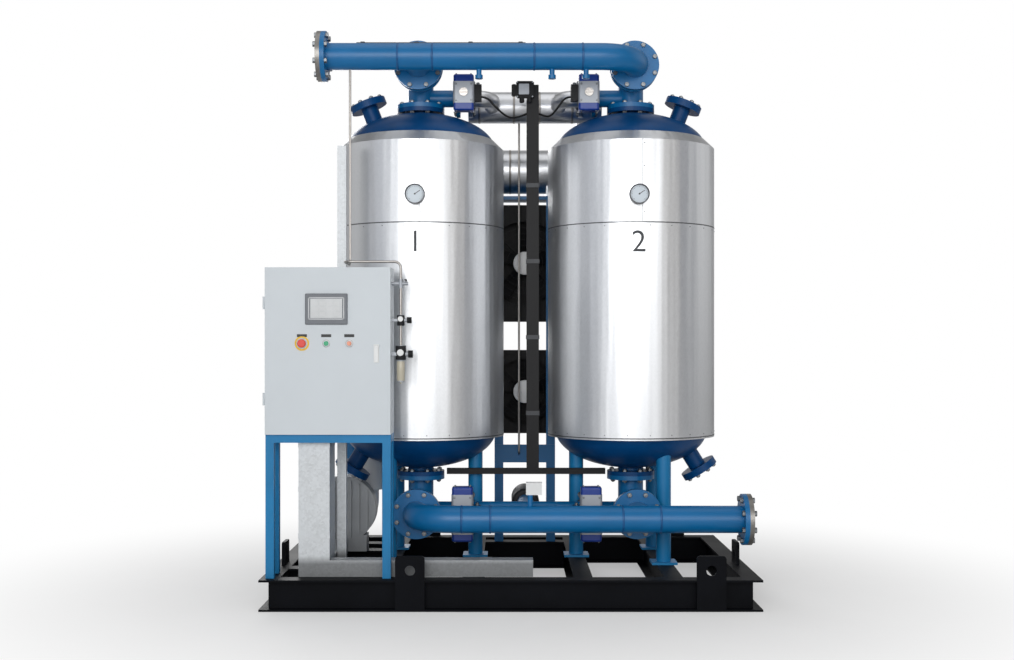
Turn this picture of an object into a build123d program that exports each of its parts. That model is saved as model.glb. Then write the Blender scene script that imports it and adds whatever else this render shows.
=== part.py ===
"""Twin-tower blower-purge desiccant air dryer on a beam skid.

Units are millimetres, +Z is up, the front (cabinet side) faces -Y and the
origin is on the floor under the middle of the skid.
"""
from build123d import *
import math
import os

os.makedirs("parts", exist_ok=True)

# Skid of rolled I beams
skid_length = 2400
skid_width = 1500
beam_height = 150
beam_width = 90
beam_web = 8
beam_flange = 10
lug_width = 140
lug_thick = 16
lug_rise = 115
lug_hole_r = 25
front_lug_x = (-480, 955)
side_lug_y = -250

# Adsorber towers
tower_a_x = -476
tower_b_x = 640
vessel_r = 400
vessel_wall = 8
head_height = 200
tangent_low = 820
tangent_high = 2295
lagging_thick = 40
clad_r = vessel_r + lagging_thick
clad_sheet = 2
clad_low = 790
clad_shoulder = 2300
clad_top = 2350
clad_opening_r = vessel_r - 12
skirt_opening_r = vessel_r - 3
soft_gap = 0.5
screen_thick = 12
screen_hole_r = 22
bed_top_space = 90
leg_r = 38
leg_circle_r = vessel_r - 110
leg_plate = 130
leg_plate_thick = 12

# Main pipework: DN125 pipe and flanges, DN80 side branches
pipe_r = 66.5
pipe_bore_r = 60.5
tee_inset = 2
flange_r = 125
flange_thick = 22
small_pipe_r = 44.5
small_bore_r = 40.5
small_flange_r = 100
small_flange_thick = 20
elbow_r = 190
nozzle_top_face = 2520
nozzle_low_face = 582
top_axis_z = 2710
top_header_y = -430
top_branch_face_y = -178
check_body_length = 40
low_axis_z = 415
low_header_y = -560
low_branch_face_y = -348
top_side_z = 2580
low_side_y = -190
side_face = 210
top_header_face_x = -940
low_header_face_x = 1152
slip_bore_r = 67.5
bolt_circle_r = 105
bolt_count = 8
bolt_r = 8
bolt_hole_r = 9
nut_across = 24
nut_thick = 13
stub_r = 13
stub_length = 45
stub_cap_r = 19
top_stub_x = (-158, 207, 377)

# Charging ports, square to the heads
port_pipe_r = 44.5
port_flange_r = 97
port_flange_thick = 18
port_length = 95
port_top_offset = vessel_r - 155
port_low_offset = vessel_r - 87

# Butterfly valves and their actuators
valve_length = 46
valve_body_r = 68
disc_r = 39.5
disc_thick = 8
stem_r = 8
stem_play = 0.08
neck_r = 20
neck_reach = 103
neck_plate = 64
neck_plate_thick = 8
actuator_width = 110
actuator_depth = 86
top_actuator_height = 112
low_actuator_height = 200
cap_height = 38
cap_inset = 4
solenoid_size = (38, 54, 84)
indicator_r = 22
indicator_thick = 14
seat_gap = 0.3

# Wafer check valves under the top header
flap_r = 48
flap_thick = 6
flap_pivot_rise = 47
flap_pin_r = 4
flap_pin_half = 42
check_seat_r = 44
check_seat_length = 14
check_bore_r = 60

# Regeneration side
lagged_r = 85
manifold_y = 260
manifold_elbow_r = 90
manifold_left_x = -230
manifold_right_x = 500
heater_y = 600
heater_z = 2270
heater_r = 125
heater_wall = 25
heater_left_x = -420
heater_right_x = 560
heater_flange_r = 150
heater_flange_thick = 20
heater_drop_x = 440
heater_inlet_x = -300
heater_stub = 30
lagged_riser_r = 60
element_r = 8
element_circle_r = 55
element_length = 780
terminal_box = 150
exhaust_x = 82
silencer_r = 75
silencer_length = 300
silencer_y = 130

# Rear frame and air cooler
post_size = 50
post_x = (-64, 231)
post_y = 520
post_top = 2100
shelf_depth = 160
shelf_thick = 20
tie_plate_low = 601
tie_plate_high = 703
tie_plate_thick = 6
cooler_x = 84
cooler_width = 620
cooler_depth = 100
cooler_upper = (1405, 2074)
cooler_lower = (764, 1242)
fan_upper_r = 240
fan_lower_r = 190
fan_tip_gap = 10
fan_hub_r = 65
fan_hub_depth = 40
fan_blades = 5
fan_shaft_r = 8
fan_motor_r = 55

# Side-channel blower
blower_x = -910
blower_z = 380
blower_front_y = 130
blower_r = 180
blower_depth = 120
blower_wall = 10
impeller_r = 150
impeller_thick = 70
shaft_r = 14
shaft_play = 0.1
motor_r = 95
motor_length = 250
cowl_length = 60
motor_fins = 12
fin_height = 12
purge_pipe_r = 38
purge_bore_r = 34
purge_elbow_r = 80
purge_port_rise = 140
purge_run_z = 1960
filter_x = -760
filter_y = 330
filter_r = 70
filter_low = 470
filter_high = 700
filter_pipe_r = 28
rib_count = 7

# Control cabinet on its stand
cabinet_left = -1175
cabinet_width = 600
cabinet_height = 800
cabinet_bottom = 840
door_front_y = -720
door_thick = 19
cabinet_back_y = -520
sheet = 2
door_gap = 0.5
tube_size = 40
hinge_out = 6
hinge_back = 10
knuckle_r = 5.5
knuckle_length = 30
hinge_pin_r = 3
hinge_z = (980, 1440)
hmi_x = -880
hmi_z = 1440
hmi_width = 202
hmi_height = 148
hmi_frame = 10
hmi_body_inset = 8
hmi_body_depth = 40
button_z = 1276
estop_x = -997
start_x = -881
lamp_x = -771
button_r = 11
button_play = 0.1
bezel_r = 16
estop_bezel_r = 24
bezel_thick = 3
estop_r = 20
estop_head = 14
start_head = 4
start_travel = 3
estop_travel = 5
lock_x = -641
lock_z = 1228
lock_width = 26
lock_height = 88
lock_thick = 4
lever_pin_r = 2

# Cable ways
trunk_height = 80
trunk_left = -1024
trunk_right = -874
trunk_front_y = -655
trunk_back_y = -460
trunk_run_end_y = 60
floor_trunk_y = (-655, -565)
floor_trunk_end_x = 108
riser_duct_x = (-870, -825)
riser_duct_y = (-400, -360)
riser_duct_top = 2270
conduit_y = (-78.3, -38.3)
conduit_z = (590, 620)
conduit_x = (-335, 500)
post_conduit_x = (85, 150)
post_conduit_top = 2560

# Instruments
gauge_z = 2020
gauge_r = 50
gauge_depth = 32
gauge_standoff = 12
gauge_recess = 12
gauge_rim = 4
gauge_stem_r = 7
gauge_hole_r = 9
needle_length = 36
needle_width = 3
needle_thick = 1.5
needle_pin_r = 1.5
tube_r = 6
tube_corner = 30
tube_drop_x = -802
sense_tube_x = (50, 153)
air_offset = 45
air_y = -660
ball_valve_drop = 75
regulator_drops = (252, 415)
dew_x = 95
dew_box = (78, 40, 61)
dew_box_x = 114
dew_box_low = 536

duct_rail_y = (riser_duct_y[0] + riser_duct_y[1]) / 2
blower_rail_y = (blower_front_y + 70, blower_front_y + 320)

middle = Align.CENTER
low_end = Align.MIN


def rod(start, direction, radius, length, mode=Mode.ADD):
    """A round bar from start along direction."""
    with Locations(Plane(origin=start, z_dir=direction)):
        Cylinder(radius, length, align=(middle, middle, low_end), mode=mode)


def block(low, high, mode=Mode.ADD):
    """A box between two opposite corners."""
    size = [b - a for a, b in zip(low, high)]
    centre = [(a + b) / 2 for a, b in zip(low, high)]
    with Locations(tuple(centre)):
        Box(*size, mode=mode)


def ball(centre, radius, mode=Mode.ADD):
    with Locations(centre):
        Sphere(radius, mode=mode)


def bent_tube(points, corner_r, radius, bore_r=0):
    """A round bar, or a pipe if it has a bore, bent along straight runs."""
    start = Vector(*points[0])
    heading = Vector(*points[1]) - start
    with BuildPart() as tube:
        with BuildLine() as route:
            FilletPolyline(*points, radius=corner_r)
        with BuildSketch(Plane(origin=start, z_dir=heading)) as section:
            Circle(radius)
            if bore_r:
                Circle(bore_r, mode=Mode.SUBTRACT)
        sweep(section.sketch, path=route.wire())
    return tube.part


def solid_box(low, high):
    with BuildPart() as piece:
        block(low, high)
    return piece.part


def solid_rod(start, direction, radius, length):
    with BuildPart() as piece:
        rod(start, direction, radius, length)
    return piece.part


def save(part, name):
    part.label = name
    export_step(part, f"parts/{name}.step")


def save_group(pieces, name):
    """Several separate solids kept in one file."""
    group = Compound([solid for piece in pieces for solid in piece.solids()])
    save(group, name)


# Skid frame: mitred ring of I beams, cross beams, floor rails, lifting lugs
web_y = (skid_width - beam_width) / 2
web_x = (skid_length - beam_width) / 2
web_height = beam_height - 2 * beam_flange
beam_layers = (
    (0, beam_flange, beam_width),
    (beam_flange, web_height, beam_web),
    (beam_height - beam_flange, beam_flange, beam_width),
)
leg_side = leg_circle_r * math.cos(math.radians(60))
cross_beam_x = (
    tower_a_x - leg_side,
    tower_a_x + leg_circle_r,
    tower_b_x - leg_circle_r,
    tower_b_x + leg_side,
)


def ring_beam(turn, along, offset):
    """One side of the skid ring, both ends cut at 45 degrees."""
    heading = (math.cos(math.radians(turn)), math.sin(math.radians(turn)), 0)
    with BuildPart() as beam:
        for level, height, breadth in beam_layers:
            far, near = along + breadth / 2, along - breadth / 2
            outer, inner = offset + breadth / 2, offset - breadth / 2
            plane = Plane(origin=(0, 0, level), x_dir=heading, z_dir=(0, 0, 1))
            with BuildSketch(plane) as outline:
                with BuildLine():
                    Polyline((-far, -outer), (far, -outer), (near, -inner), (-near, -inner), close=True)
                make_face()
            extrude(outline.sketch, amount=height)
    return beam.part


def straight_beam(start, end):
    """An I beam with square ends between two points of the skid plan."""
    run = Vector(*end) - Vector(*start)
    plane = Plane(origin=(*start, 0), x_dir=(run.X, run.Y, 0), z_dir=(0, 0, 1))
    with BuildPart() as beam:
        for level, height, breadth in beam_layers:
            with BuildSketch(plane.offset(level)) as outline:
                with Locations((run.length / 2, 0)):
                    Rectangle(run.length, breadth)
            extrude(outline.sketch, amount=height)
    return beam.part


def lug(origin, across, normal):
    """A lifting plate with an eye, standing on the beams' top flanges."""
    with BuildPart() as plate:
        with BuildSketch(Plane(origin=origin, x_dir=across, z_dir=normal)) as outline:
            with Locations((0, beam_height + lug_rise / 2)):
                Rectangle(lug_width, lug_rise)
            fillet(outline.vertices().group_by(Axis.Y)[-1], 15)
            with Locations((0, beam_height + lug_rise - lug_width / 2)):
                Circle(lug_hole_r, mode=Mode.SUBTRACT)
        extrude(outline.sketch, amount=lug_thick)
    return plate.part


inner_y = skid_width / 2 - beam_width
inner_x = skid_length / 2 - beam_width
half_beam = beam_width / 2
skid_pieces = [
    ring_beam(0, web_x, web_y),
    ring_beam(180, web_x, web_y),
    ring_beam(90, web_y, web_x),
    ring_beam(270, web_y, web_x),
]
for x in cross_beam_x:
    skid_pieces.append(straight_beam((x, -inner_y), (x, inner_y)))
left_bay_end = cross_beam_x[0] - half_beam
for y in (duct_rail_y, *blower_rail_y):
    skid_pieces.append(straight_beam((-inner_x, y), (left_bay_end, y)))
frame_bay = (cross_beam_x[1] + half_beam, cross_beam_x[2] - half_beam)
skid_pieces.append(straight_beam((frame_bay[0], post_y), (frame_bay[1], post_y)))
for x in front_lug_x:
    for face_y in (lug_thick - skid_width / 2, skid_width / 2):
        skid_pieces.append(lug((x, face_y, 0), (1, 0, 0), (0, -1, 0)))
        skid_pieces.append(solid_box(
            (x - lug_width / 2, face_y - lug_thick, beam_flange),
            (x + lug_width / 2, face_y, beam_height - beam_flange),
        ))
for x in (-web_x, web_x):
    skid_pieces.append(lug((x - lug_thick / 2, side_lug_y, 0), (0, 1, 0), (1, 0, 0)))
save_group(skid_pieces, "skid_frame")


# Towers: vessel weldments with nozzles, ports and bed screens
def head_slope(offset):
    """Height of the head above its tangent line, and its outward direction."""
    rise = head_height * math.sqrt(1 - (offset / vessel_r) ** 2)
    across, up = offset / vessel_r**2, rise / head_height**2
    length = math.hypot(across, up)
    return rise, across / length, up / length


def vessel_form(x, radius, head, mode=Mode.ADD):
    """A closed cylinder with two elliptical heads, standing at x."""
    plane = Plane(origin=(x, 0, 0), x_dir=(1, 0, 0), z_dir=(0, -1, 0))
    tall = tangent_high - tangent_low
    centre = (tangent_high + tangent_low) / 2
    with BuildSketch(plane) as half:
        with Locations((0, centre)):
            Rectangle(2 * radius, tall)
        with Locations((0, tangent_low), (0, tangent_high)):
            Ellipse(radius, head)
        with Locations((-radius, centre)):
            Rectangle(2 * radius, tall + 4 * head, mode=Mode.SUBTRACT)
    revolve(half.sketch, axis=Axis((x, 0, 0), (0, 0, 1)), mode=mode)


def port_frames(x, outward):
    """Start point and direction of the two charging ports of a tower."""
    frames = []
    for offset, tangent, way in ((port_top_offset, tangent_high, 1), (port_low_offset, tangent_low, -1)):
        rise, across, up = head_slope(offset)
        start = Vector(x + outward * offset, 0, tangent + way * rise)
        frames.append((start, Vector(outward * across, 0, way * up)))
    return frames


def make_vessel(x, outward):
    nozzle_high = tangent_high + head_height
    nozzle_low = tangent_low - head_height
    inner_r, inner_head = vessel_r - vessel_wall, head_height - vessel_wall
    with BuildPart() as vessel:
        vessel_form(x, vessel_r, head_height)
        rod((x, 0, nozzle_high - 20), (0, 0, 1), pipe_r, nozzle_top_face - nozzle_high + 20)
        rod((x, 0, nozzle_top_face), (0, 0, -1), flange_r, flange_thick)
        rod((x, 0, nozzle_low_face), (0, 0, 1), pipe_r, nozzle_low - nozzle_low_face + 20)
        rod((x, 0, nozzle_low_face), (0, 0, 1), flange_r, flange_thick)
        for start, way in port_frames(x, outward):
            rod(start - way * 30, way, port_pipe_r, port_length + 30)
            rod(start + way * port_length, -way, port_flange_r, port_flange_thick)
        vessel_form(x, inner_r, inner_head, Mode.SUBTRACT)
        rod((x, 0, nozzle_high - 40), (0, 0, 1), pipe_bore_r, nozzle_top_face - nozzle_high + 40)
        rod((x, 0, nozzle_low_face), (0, 0, 1), pipe_bore_r, nozzle_low - nozzle_low_face + 40)
        for start, way in port_frames(x, outward):
            rod(start - way * 30, way, small_bore_r, port_length + 30, Mode.SUBTRACT)
        rod((x, 0, tangent_low + 20), (0, 0, 1), inner_r + 1, screen_thick)
        with Locations((x, 0, tangent_low + 20)):
            with PolarLocations(vessel_r / 2, 8):
                Cylinder(screen_hole_r, screen_thick * 3, mode=Mode.SUBTRACT)
    return vessel.part


towers = (("a", tower_a_x, -1), ("b", tower_b_x, 1))
for letter, x, outward in towers:
    save(make_vessel(x, outward), f"tower_{letter}_vessel")


# Legs: pipes on base plates, cut to the form of the lower head
def make_leg(x, outward, angle):
    leg_x = x + outward * leg_circle_r * math.cos(math.radians(angle))
    leg_y = leg_circle_r * math.sin(math.radians(angle))
    half_plate = leg_plate / 2
    with BuildPart() as leg:
        block(
            (leg_x - half_plate, leg_y - half_plate, beam_height),
            (leg_x + half_plate, leg_y + half_plate, beam_height + leg_plate_thick),
        )
        rod((leg_x, leg_y, beam_height), (0, 0, 1), leg_r, tangent_low - beam_height)
        vessel_form(x, vessel_r, head_height, Mode.SUBTRACT)
    return leg.part.solids().sort_by(Axis.Z)[0]


save_group([make_leg(x, out, angle) for _, x, out in towers for angle in (-60, 60, 180)], "tower_legs")


# Lagging and its sheet cladding, desiccant charge
def make_cladding(x):
    plane = Plane(origin=(x, 0, 0), x_dir=(1, 0, 0), z_dir=(0, -1, 0))
    inner_r = clad_r - clad_sheet
    with BuildPart() as cladding:
        with BuildSketch(plane) as wall:
            with BuildLine():
                Polyline(
                    (skirt_opening_r, clad_low),
                    (clad_r, clad_low),
                    (clad_r, clad_shoulder),
                    (clad_opening_r, clad_top),
                    (clad_opening_r, clad_top - clad_sheet),
                    (inner_r, clad_shoulder - clad_sheet / 2),
                    (inner_r, clad_low + clad_sheet),
                    (skirt_opening_r, clad_low + clad_sheet),
                    close=True,
                )
            make_face()
        revolve(wall.sketch, axis=Axis((x, 0, 0), (0, 0, 1)))
        rod((x, -vessel_r, gauge_z), (0, -1, 0), gauge_hole_r, clad_r, Mode.SUBTRACT)
    return cladding.part


def make_lagging(x):
    with BuildPart() as lagging:
        rod((x, 0, tangent_low), (0, 0, 1), clad_r - clad_sheet - soft_gap, clad_shoulder - 10 - tangent_low)
        rod((x, 0, tangent_low), (0, 0, 1), vessel_r + soft_gap, clad_shoulder - tangent_low, Mode.SUBTRACT)
        rod((x, -vessel_r, gauge_z), (0, -1, 0), gauge_hole_r, clad_r, Mode.SUBTRACT)
    return lagging.part


def make_bed(x):
    low = tangent_low + 20 + screen_thick
    return solid_rod((x, 0, low), (0, 0, 1), vessel_r - vessel_wall - soft_gap, tangent_high - bed_top_space - low)


for letter, x, _ in towers:
    save(make_cladding(x), f"tower_{letter}_cladding")
save_group([make_lagging(x) for _, x, _ in towers], "tower_insulation")
save_group([make_bed(x) for _, x, _ in towers], "desiccant_beds")

port_covers = []
for _, x, outward in towers:
    for start, way in port_frames(x, outward):
        port_covers.append(solid_rod(start + way * port_length, way, port_flange_r, port_flange_thick))
save_group(port_covers, "port_covers")


# Branch spools between the tower nozzles, side valves and headers
def make_branch(x, outward, nozzle_face, axis_z, front_face, side_y, side_z):
    up = 1 if axis_z > nozzle_face else -1
    run = abs(axis_z - nozzle_face)
    corner = (x, 0, axis_z)
    side_start = (x, side_y, side_z)
    inward = (-outward, 0, 0)
    with BuildPart() as spool:
        rod((x, 0, nozzle_face), (0, 0, up), pipe_r, run)
        rod((x, 0, nozzle_face), (0, 0, up), flange_r, flange_thick)
        ball(corner, pipe_r)
        rod(corner, (0, -1, 0), pipe_r, -front_face)
        rod((x, front_face, axis_z), (0, 1, 0), flange_r, flange_thick)
        rod(side_start, inward, small_pipe_r, side_face)
        rod((x - outward * side_face, side_y, side_z), (outward, 0, 0), small_flange_r, small_flange_thick)
        rod((x, 0, nozzle_face), (0, 0, up), pipe_bore_r, run, Mode.SUBTRACT)
        ball(corner, pipe_bore_r, Mode.SUBTRACT)
        rod(corner, (0, -1, 0), pipe_bore_r, -front_face, Mode.SUBTRACT)
        rod(side_start, inward, small_bore_r, side_face, Mode.SUBTRACT)
    return spool.part


save_group(
    [make_branch(x, out, nozzle_top_face, top_axis_z, top_branch_face_y, 0, top_side_z) for _, x, out in towers],
    "top_branches",
)
save_group(
    [make_branch(x, out, nozzle_low_face, low_axis_z, low_branch_face_y, low_side_y, low_axis_z)
     for _, x, out in towers],
    "bottom_branches",
)


# Headers: straight pipe, tee over one tower, elbow over the other, end flange
def bolt_reach(index):
    """Where a flange bolt stands from the axis of a pipe along X."""
    angle = math.radians((index + 0.5) * 360 / bolt_count)
    return Vector(0, bolt_circle_r * math.cos(angle), bolt_circle_r * math.sin(angle))


def bolt_holes(face, way):
    for index in range(bolt_count):
        rod(face + bolt_reach(index), way, bolt_hole_r, flange_thick, Mode.SUBTRACT)


def header_run(tee_x, elbow_x, end_x, header_y, axis_z, face_y, radius, mode=Mode.ADD):
    """The header's outer form, or its bore when asked with a smaller radius."""
    way = 1 if elbow_x > tee_x else -1
    with BuildLine() as route:
        FilletPolyline(
            (end_x, header_y, axis_z),
            (elbow_x, header_y, axis_z),
            (elbow_x, face_y, axis_z),
            radius=elbow_r,
        )
    with BuildSketch(Plane(origin=(end_x, header_y, axis_z), z_dir=(way, 0, 0))) as section:
        Circle(radius)
    sweep(section.sketch, path=route.wire(), mode=mode)
    rod((tee_x, header_y, axis_z), (0, 1, 0), radius - tee_inset, face_y - header_y, mode)


def header_flanges(tee_x, elbow_x, end_x, header_y, axis_z, face_y):
    way = 1 if elbow_x > tee_x else -1
    rod((end_x, header_y, axis_z), (way, 0, 0), flange_r, flange_thick)
    bolt_holes(Vector(end_x, header_y, axis_z), Vector(way, 0, 0))
    for x in (tee_x, elbow_x):
        rod((x, face_y, axis_z), (0, -1, 0), flange_r, flange_thick)


top_run = (tower_a_x, tower_b_x, top_header_face_x, top_header_y, top_axis_z)
top_face = top_branch_face_y - check_body_length
low_run = (tower_b_x, tower_a_x, low_header_face_x, low_header_y, low_axis_z)
stub_reach = pipe_r + stub_length
with BuildPart() as top_header:
    header_run(*top_run, top_face, pipe_r)
    header_flanges(*top_run, top_face)
    for x in top_stub_x:
        rod((x, top_header_y, top_axis_z), (0, 0, -1), stub_r, stub_reach)
        rod((x, top_header_y, top_axis_z - stub_reach + stub_cap_r), (0, 0, -1), stub_cap_r, stub_cap_r)
    header_run(*top_run, top_face, pipe_bore_r, Mode.SUBTRACT)
save(top_header.part, "top_header")

with BuildPart() as bottom_header:
    header_run(*low_run, low_branch_face_y, pipe_r)
    header_flanges(*low_run, low_branch_face_y)
    rod((dew_x, low_header_y, low_axis_z), (0, 0, 1), stub_r, dew_box_low - low_axis_z)
    header_run(*low_run, low_branch_face_y, pipe_bore_r, Mode.SUBTRACT)
save(bottom_header.part, "bottom_header")


# Slip-on counter flanges at the pipe ends, with their bolts
header_ends = (
    (Vector(top_header_face_x, top_header_y, top_axis_z), Vector(-1, 0, 0)),
    (Vector(low_header_face_x, low_header_y, low_axis_z), Vector(1, 0, 0)),
)
counter_flanges = []
header_bolts = []
for face, way in header_ends:
    with BuildPart() as flange:
        rod(face, way, flange_r, flange_thick)
        rod(face, way, slip_bore_r, flange_thick, Mode.SUBTRACT)
        bolt_holes(face, way)
    counter_flanges.append(flange.part)
    for index in range(bolt_count):
        reach = bolt_reach(index)
        with BuildPart() as bolt:
            for heading in (way, -way):
                nut_face = Plane(origin=face + heading * flange_thick + reach, z_dir=heading)
                with BuildSketch(nut_face) as hexagon:
                    RegularPolygon(nut_across / 2, 6, major_radius=False)
                extrude(hexagon.sketch, amount=nut_thick)
                rod(face + reach, heading, bolt_r, flange_thick + nut_thick)
        header_bolts.append(bolt.part)
save_group(counter_flanges, "counter_flanges")
save_group(header_bolts, "header_bolts")


# Valve bodies: four wafer butterfly valves and two wafer check valves
valve_seats = []
for _, x, outward in towers:
    valve_seats.append((x, outward, 0, top_side_z, top_actuator_height))
    valve_seats.append((x, outward, low_side_y, low_axis_z, low_actuator_height))
valve_names = ("top_a", "bottom_a", "top_b", "bottom_b")
plate_back = neck_reach + neck_plate_thick


def valve_centre(x, outward, y, z):
    return Vector(x - outward * (side_face + valve_length / 2), y, z)


def make_valve_body(centre):
    face = centre - Vector(valve_length / 2, 0, 0)
    with BuildPart() as body:
        rod(face, (1, 0, 0), valve_body_r, valve_length)
        rod(centre, (0, -1, 0), neck_r, neck_reach)
        block(
            centre + Vector(-neck_plate / 2, -plate_back, -neck_plate / 2),
            centre + Vector(neck_plate / 2, -neck_reach, neck_plate / 2),
        )
        rod(face, (1, 0, 0), small_bore_r, valve_length, Mode.SUBTRACT)
        stem_hole = centre + Vector(0, valve_body_r - 10, 0)
        rod(stem_hole, (0, -1, 0), stem_r + stem_play, valve_body_r + plate_back, Mode.SUBTRACT)
    return body.part


def make_valve_disc(centre):
    stem_end = plate_back + actuator_depth + seat_gap
    with BuildPart() as disc:
        rod(centre - Vector(disc_thick / 2, 0, 0), (1, 0, 0), disc_r, disc_thick)
        back = centre + Vector(0, valve_body_r - 12, 0)
        rod(back, (0, -1, 0), stem_r, valve_body_r - 12 + stem_end)
        front = centre - Vector(0, stem_end, 0)
        rod(front, (0, -1, 0), indicator_r, indicator_thick / 2)
        block(
            front + Vector(-indicator_r, -indicator_thick, -3),
            front + Vector(indicator_r, 0, 3),
        )
    return disc.part


def make_check_body(x):
    back = Vector(x, top_branch_face_y, top_axis_z)
    with BuildPart() as body:
        rod(back, (0, -1, 0), flange_r - 20, check_body_length)
        rod(back, (0, -1, 0), check_seat_r, check_body_length, Mode.SUBTRACT)
        seat = back - Vector(0, check_seat_length, 0)
        rod(seat, (0, -1, 0), check_bore_r, check_body_length, Mode.SUBTRACT)
        pin = flap_pivot(x) - Vector(flap_pin_half + 1, 0, 0)
        rod(pin, (1, 0, 0), flap_pin_r + stem_play, 2 * flap_pin_half + 2, Mode.SUBTRACT)
    return body.part


def flap_pivot(x):
    seat_y = top_branch_face_y - check_seat_length
    return Vector(x, seat_y - flap_pin_r - 1, top_axis_z + flap_pivot_rise)


def make_flap(x):
    pivot = flap_pivot(x)
    seat_y = top_branch_face_y - check_seat_length - seat_gap
    with BuildPart() as flap:
        rod((x, seat_y, top_axis_z), (0, -1, 0), flap_r, flap_thick)
        rod(pivot - Vector(flap_pin_half, 0, 0), (1, 0, 0), flap_pin_r, 2 * flap_pin_half)
    return flap.part


valve_bodies = [make_valve_body(valve_centre(x, out, y, z)) for x, out, y, z, _ in valve_seats]
valve_bodies += [make_check_body(x) for _, x, _ in towers]
save_group(valve_bodies, "valve_bodies")
for name, (x, outward, y, z, _) in zip(valve_names, valve_seats):
    save(make_valve_disc(valve_centre(x, outward, y, z)), f"valve_disc_{name}")
for letter, x, _ in towers:
    save(make_flap(x), f"check_flap_{letter}")


# Pneumatic actuators, their blue end caps and the solenoid pilots
def make_actuator(centre, height):
    plane = Plane(origin=centre - Vector(0, plate_back + actuator_depth / 2, height / 2), z_dir=(0, 0, 1))
    with BuildPart() as body:
        with BuildSketch(plane) as outline:
            RectangleRounded(actuator_width, actuator_depth, 14)
            with GridLocations(actuator_width, actuator_depth / 2, 2, 2):
                Rectangle(8, 6, mode=Mode.SUBTRACT)
        extrude(outline.sketch, amount=height)
        rod(centre, (0, -1, 0), stem_r + seat_gap, plate_back + actuator_depth, Mode.SUBTRACT)
    return body.part


def make_caps(centre, height):
    caps = []
    middle_y = plate_back + actuator_depth / 2
    for way in (-1, 1):
        start = centre - Vector(0, middle_y, 0) + Vector(0, 0, way * height / 2)
        with BuildPart() as cap:
            with BuildSketch(Plane(origin=start, z_dir=(0, 0, way))) as outline:
                RectangleRounded(actuator_width - cap_inset, actuator_depth - cap_inset, 14)
            extrude(outline.sketch, amount=cap_height)
            fillet(cap.faces().sort_by(Axis.Z)[-1 if way > 0 else 0].edges(), 10)
        caps.append(cap.part)
    return caps


actuators = []
actuator_caps = []
solenoids = []
for x, outward, y, z, height in valve_seats:
    centre = valve_centre(x, outward, y, z)
    actuators.append(make_actuator(centre, height))
    actuator_caps += make_caps(centre, height)
    inner = actuator_width / 2
    side_x = sorted((centre.X - outward * inner, centre.X - outward * (inner + solenoid_size[0])))
    front = centre.Y - plate_back
    solenoids.append(solid_box(
        (side_x[0], front - solenoid_size[1] - 16, centre.Z - solenoid_size[2] / 2),
        (side_x[1], front - 16, centre.Z + solenoid_size[2] / 2),
    ))
save_group(actuators, "actuator_bodies")
save_group(actuator_caps, "actuator_caps")
save_group(solenoids, "solenoid_valves")


# Hot gas manifold behind the towers, lagged, from heater to top valves
outer_face = side_face + valve_length
port_a_x = tower_a_x + outer_face
port_b_x = tower_b_x - outer_face


def manifold_leg(face_x, way, radius, mode=Mode.ADD):
    with BuildLine() as route:
        FilletPolyline(
            (face_x, 0, top_side_z),
            (face_x + way * (manifold_elbow_r + 30), 0, top_side_z),
            (face_x + way * (manifold_elbow_r + 30), manifold_y, top_side_z),
            radius=manifold_elbow_r,
        )
    with BuildSketch(Plane(origin=(face_x, 0, top_side_z), z_dir=(way, 0, 0))) as section:
        Circle(radius)
    sweep(section.sketch, path=route.wire(), mode=mode)


manifold_ends = ((port_a_x, 1), (port_b_x, -1))
manifold_span = manifold_right_x - manifold_left_x
heater_top = heater_z + heater_r + heater_stub
with BuildPart() as regen_manifold:
    rod((manifold_left_x, manifold_y, top_side_z), (1, 0, 0), lagged_r, manifold_span)
    for face_x, way in manifold_ends:
        manifold_leg(face_x, way, small_pipe_r)
        rod((face_x, 0, top_side_z), (way, 0, 0), small_flange_r, small_flange_thick)
    rod((heater_drop_x, manifold_y, top_side_z), (0, 1, 0), lagged_riser_r, heater_y - manifold_y)
    ball((heater_drop_x, heater_y, top_side_z), lagged_riser_r)
    rod((heater_drop_x, heater_y, top_side_z), (0, 0, -1), lagged_riser_r, top_side_z - heater_top)
    bore_start = (manifold_left_x + 20, manifold_y, top_side_z)
    rod(bore_start, (1, 0, 0), pipe_bore_r, manifold_span - 40, Mode.SUBTRACT)
    for face_x, way in manifold_ends:
        manifold_leg(face_x, way, small_bore_r, Mode.SUBTRACT)
    rod((heater_drop_x, heater_y, heater_top), (0, 0, 1), small_bore_r, top_side_z - heater_top, Mode.SUBTRACT)
    rod((heater_drop_x, manifold_y, top_side_z), (0, 1, 0), small_bore_r, heater_y - manifold_y, Mode.SUBTRACT)
save(regen_manifold.part, "regen_manifold")

with BuildPart() as exhaust_manifold:
    rod((port_a_x, low_side_y, low_axis_z), (1, 0, 0), small_pipe_r, port_b_x - port_a_x)
    for face_x, way in manifold_ends:
        rod((face_x, low_side_y, low_axis_z), (way, 0, 0), small_flange_r, small_flange_thick)
    rod((exhaust_x, low_side_y, low_axis_z), (0, 1, 0), small_pipe_r, silencer_y - low_side_y)
    rod((port_a_x, low_side_y, low_axis_z), (1, 0, 0), small_bore_r, port_b_x - port_a_x, Mode.SUBTRACT)
    rod((exhaust_x, low_side_y, low_axis_z), (0, 1, 0), small_bore_r, silencer_y - low_side_y, Mode.SUBTRACT)
save(exhaust_manifold.part, "exhaust_manifold")

with BuildPart() as exhaust_silencer:
    rod((exhaust_x, silencer_y, low_axis_z), (0, 1, 0), silencer_r, silencer_length)
    ends = exhaust_silencer.edges().filter_by(GeomType.CIRCLE)
    fillet(ends, 18)
    rod((exhaust_x, silencer_y, low_axis_z), (0, 1, 0), small_bore_r, silencer_length - 20, Mode.SUBTRACT)
save(exhaust_silencer.part, "exhaust_silencer")


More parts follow.
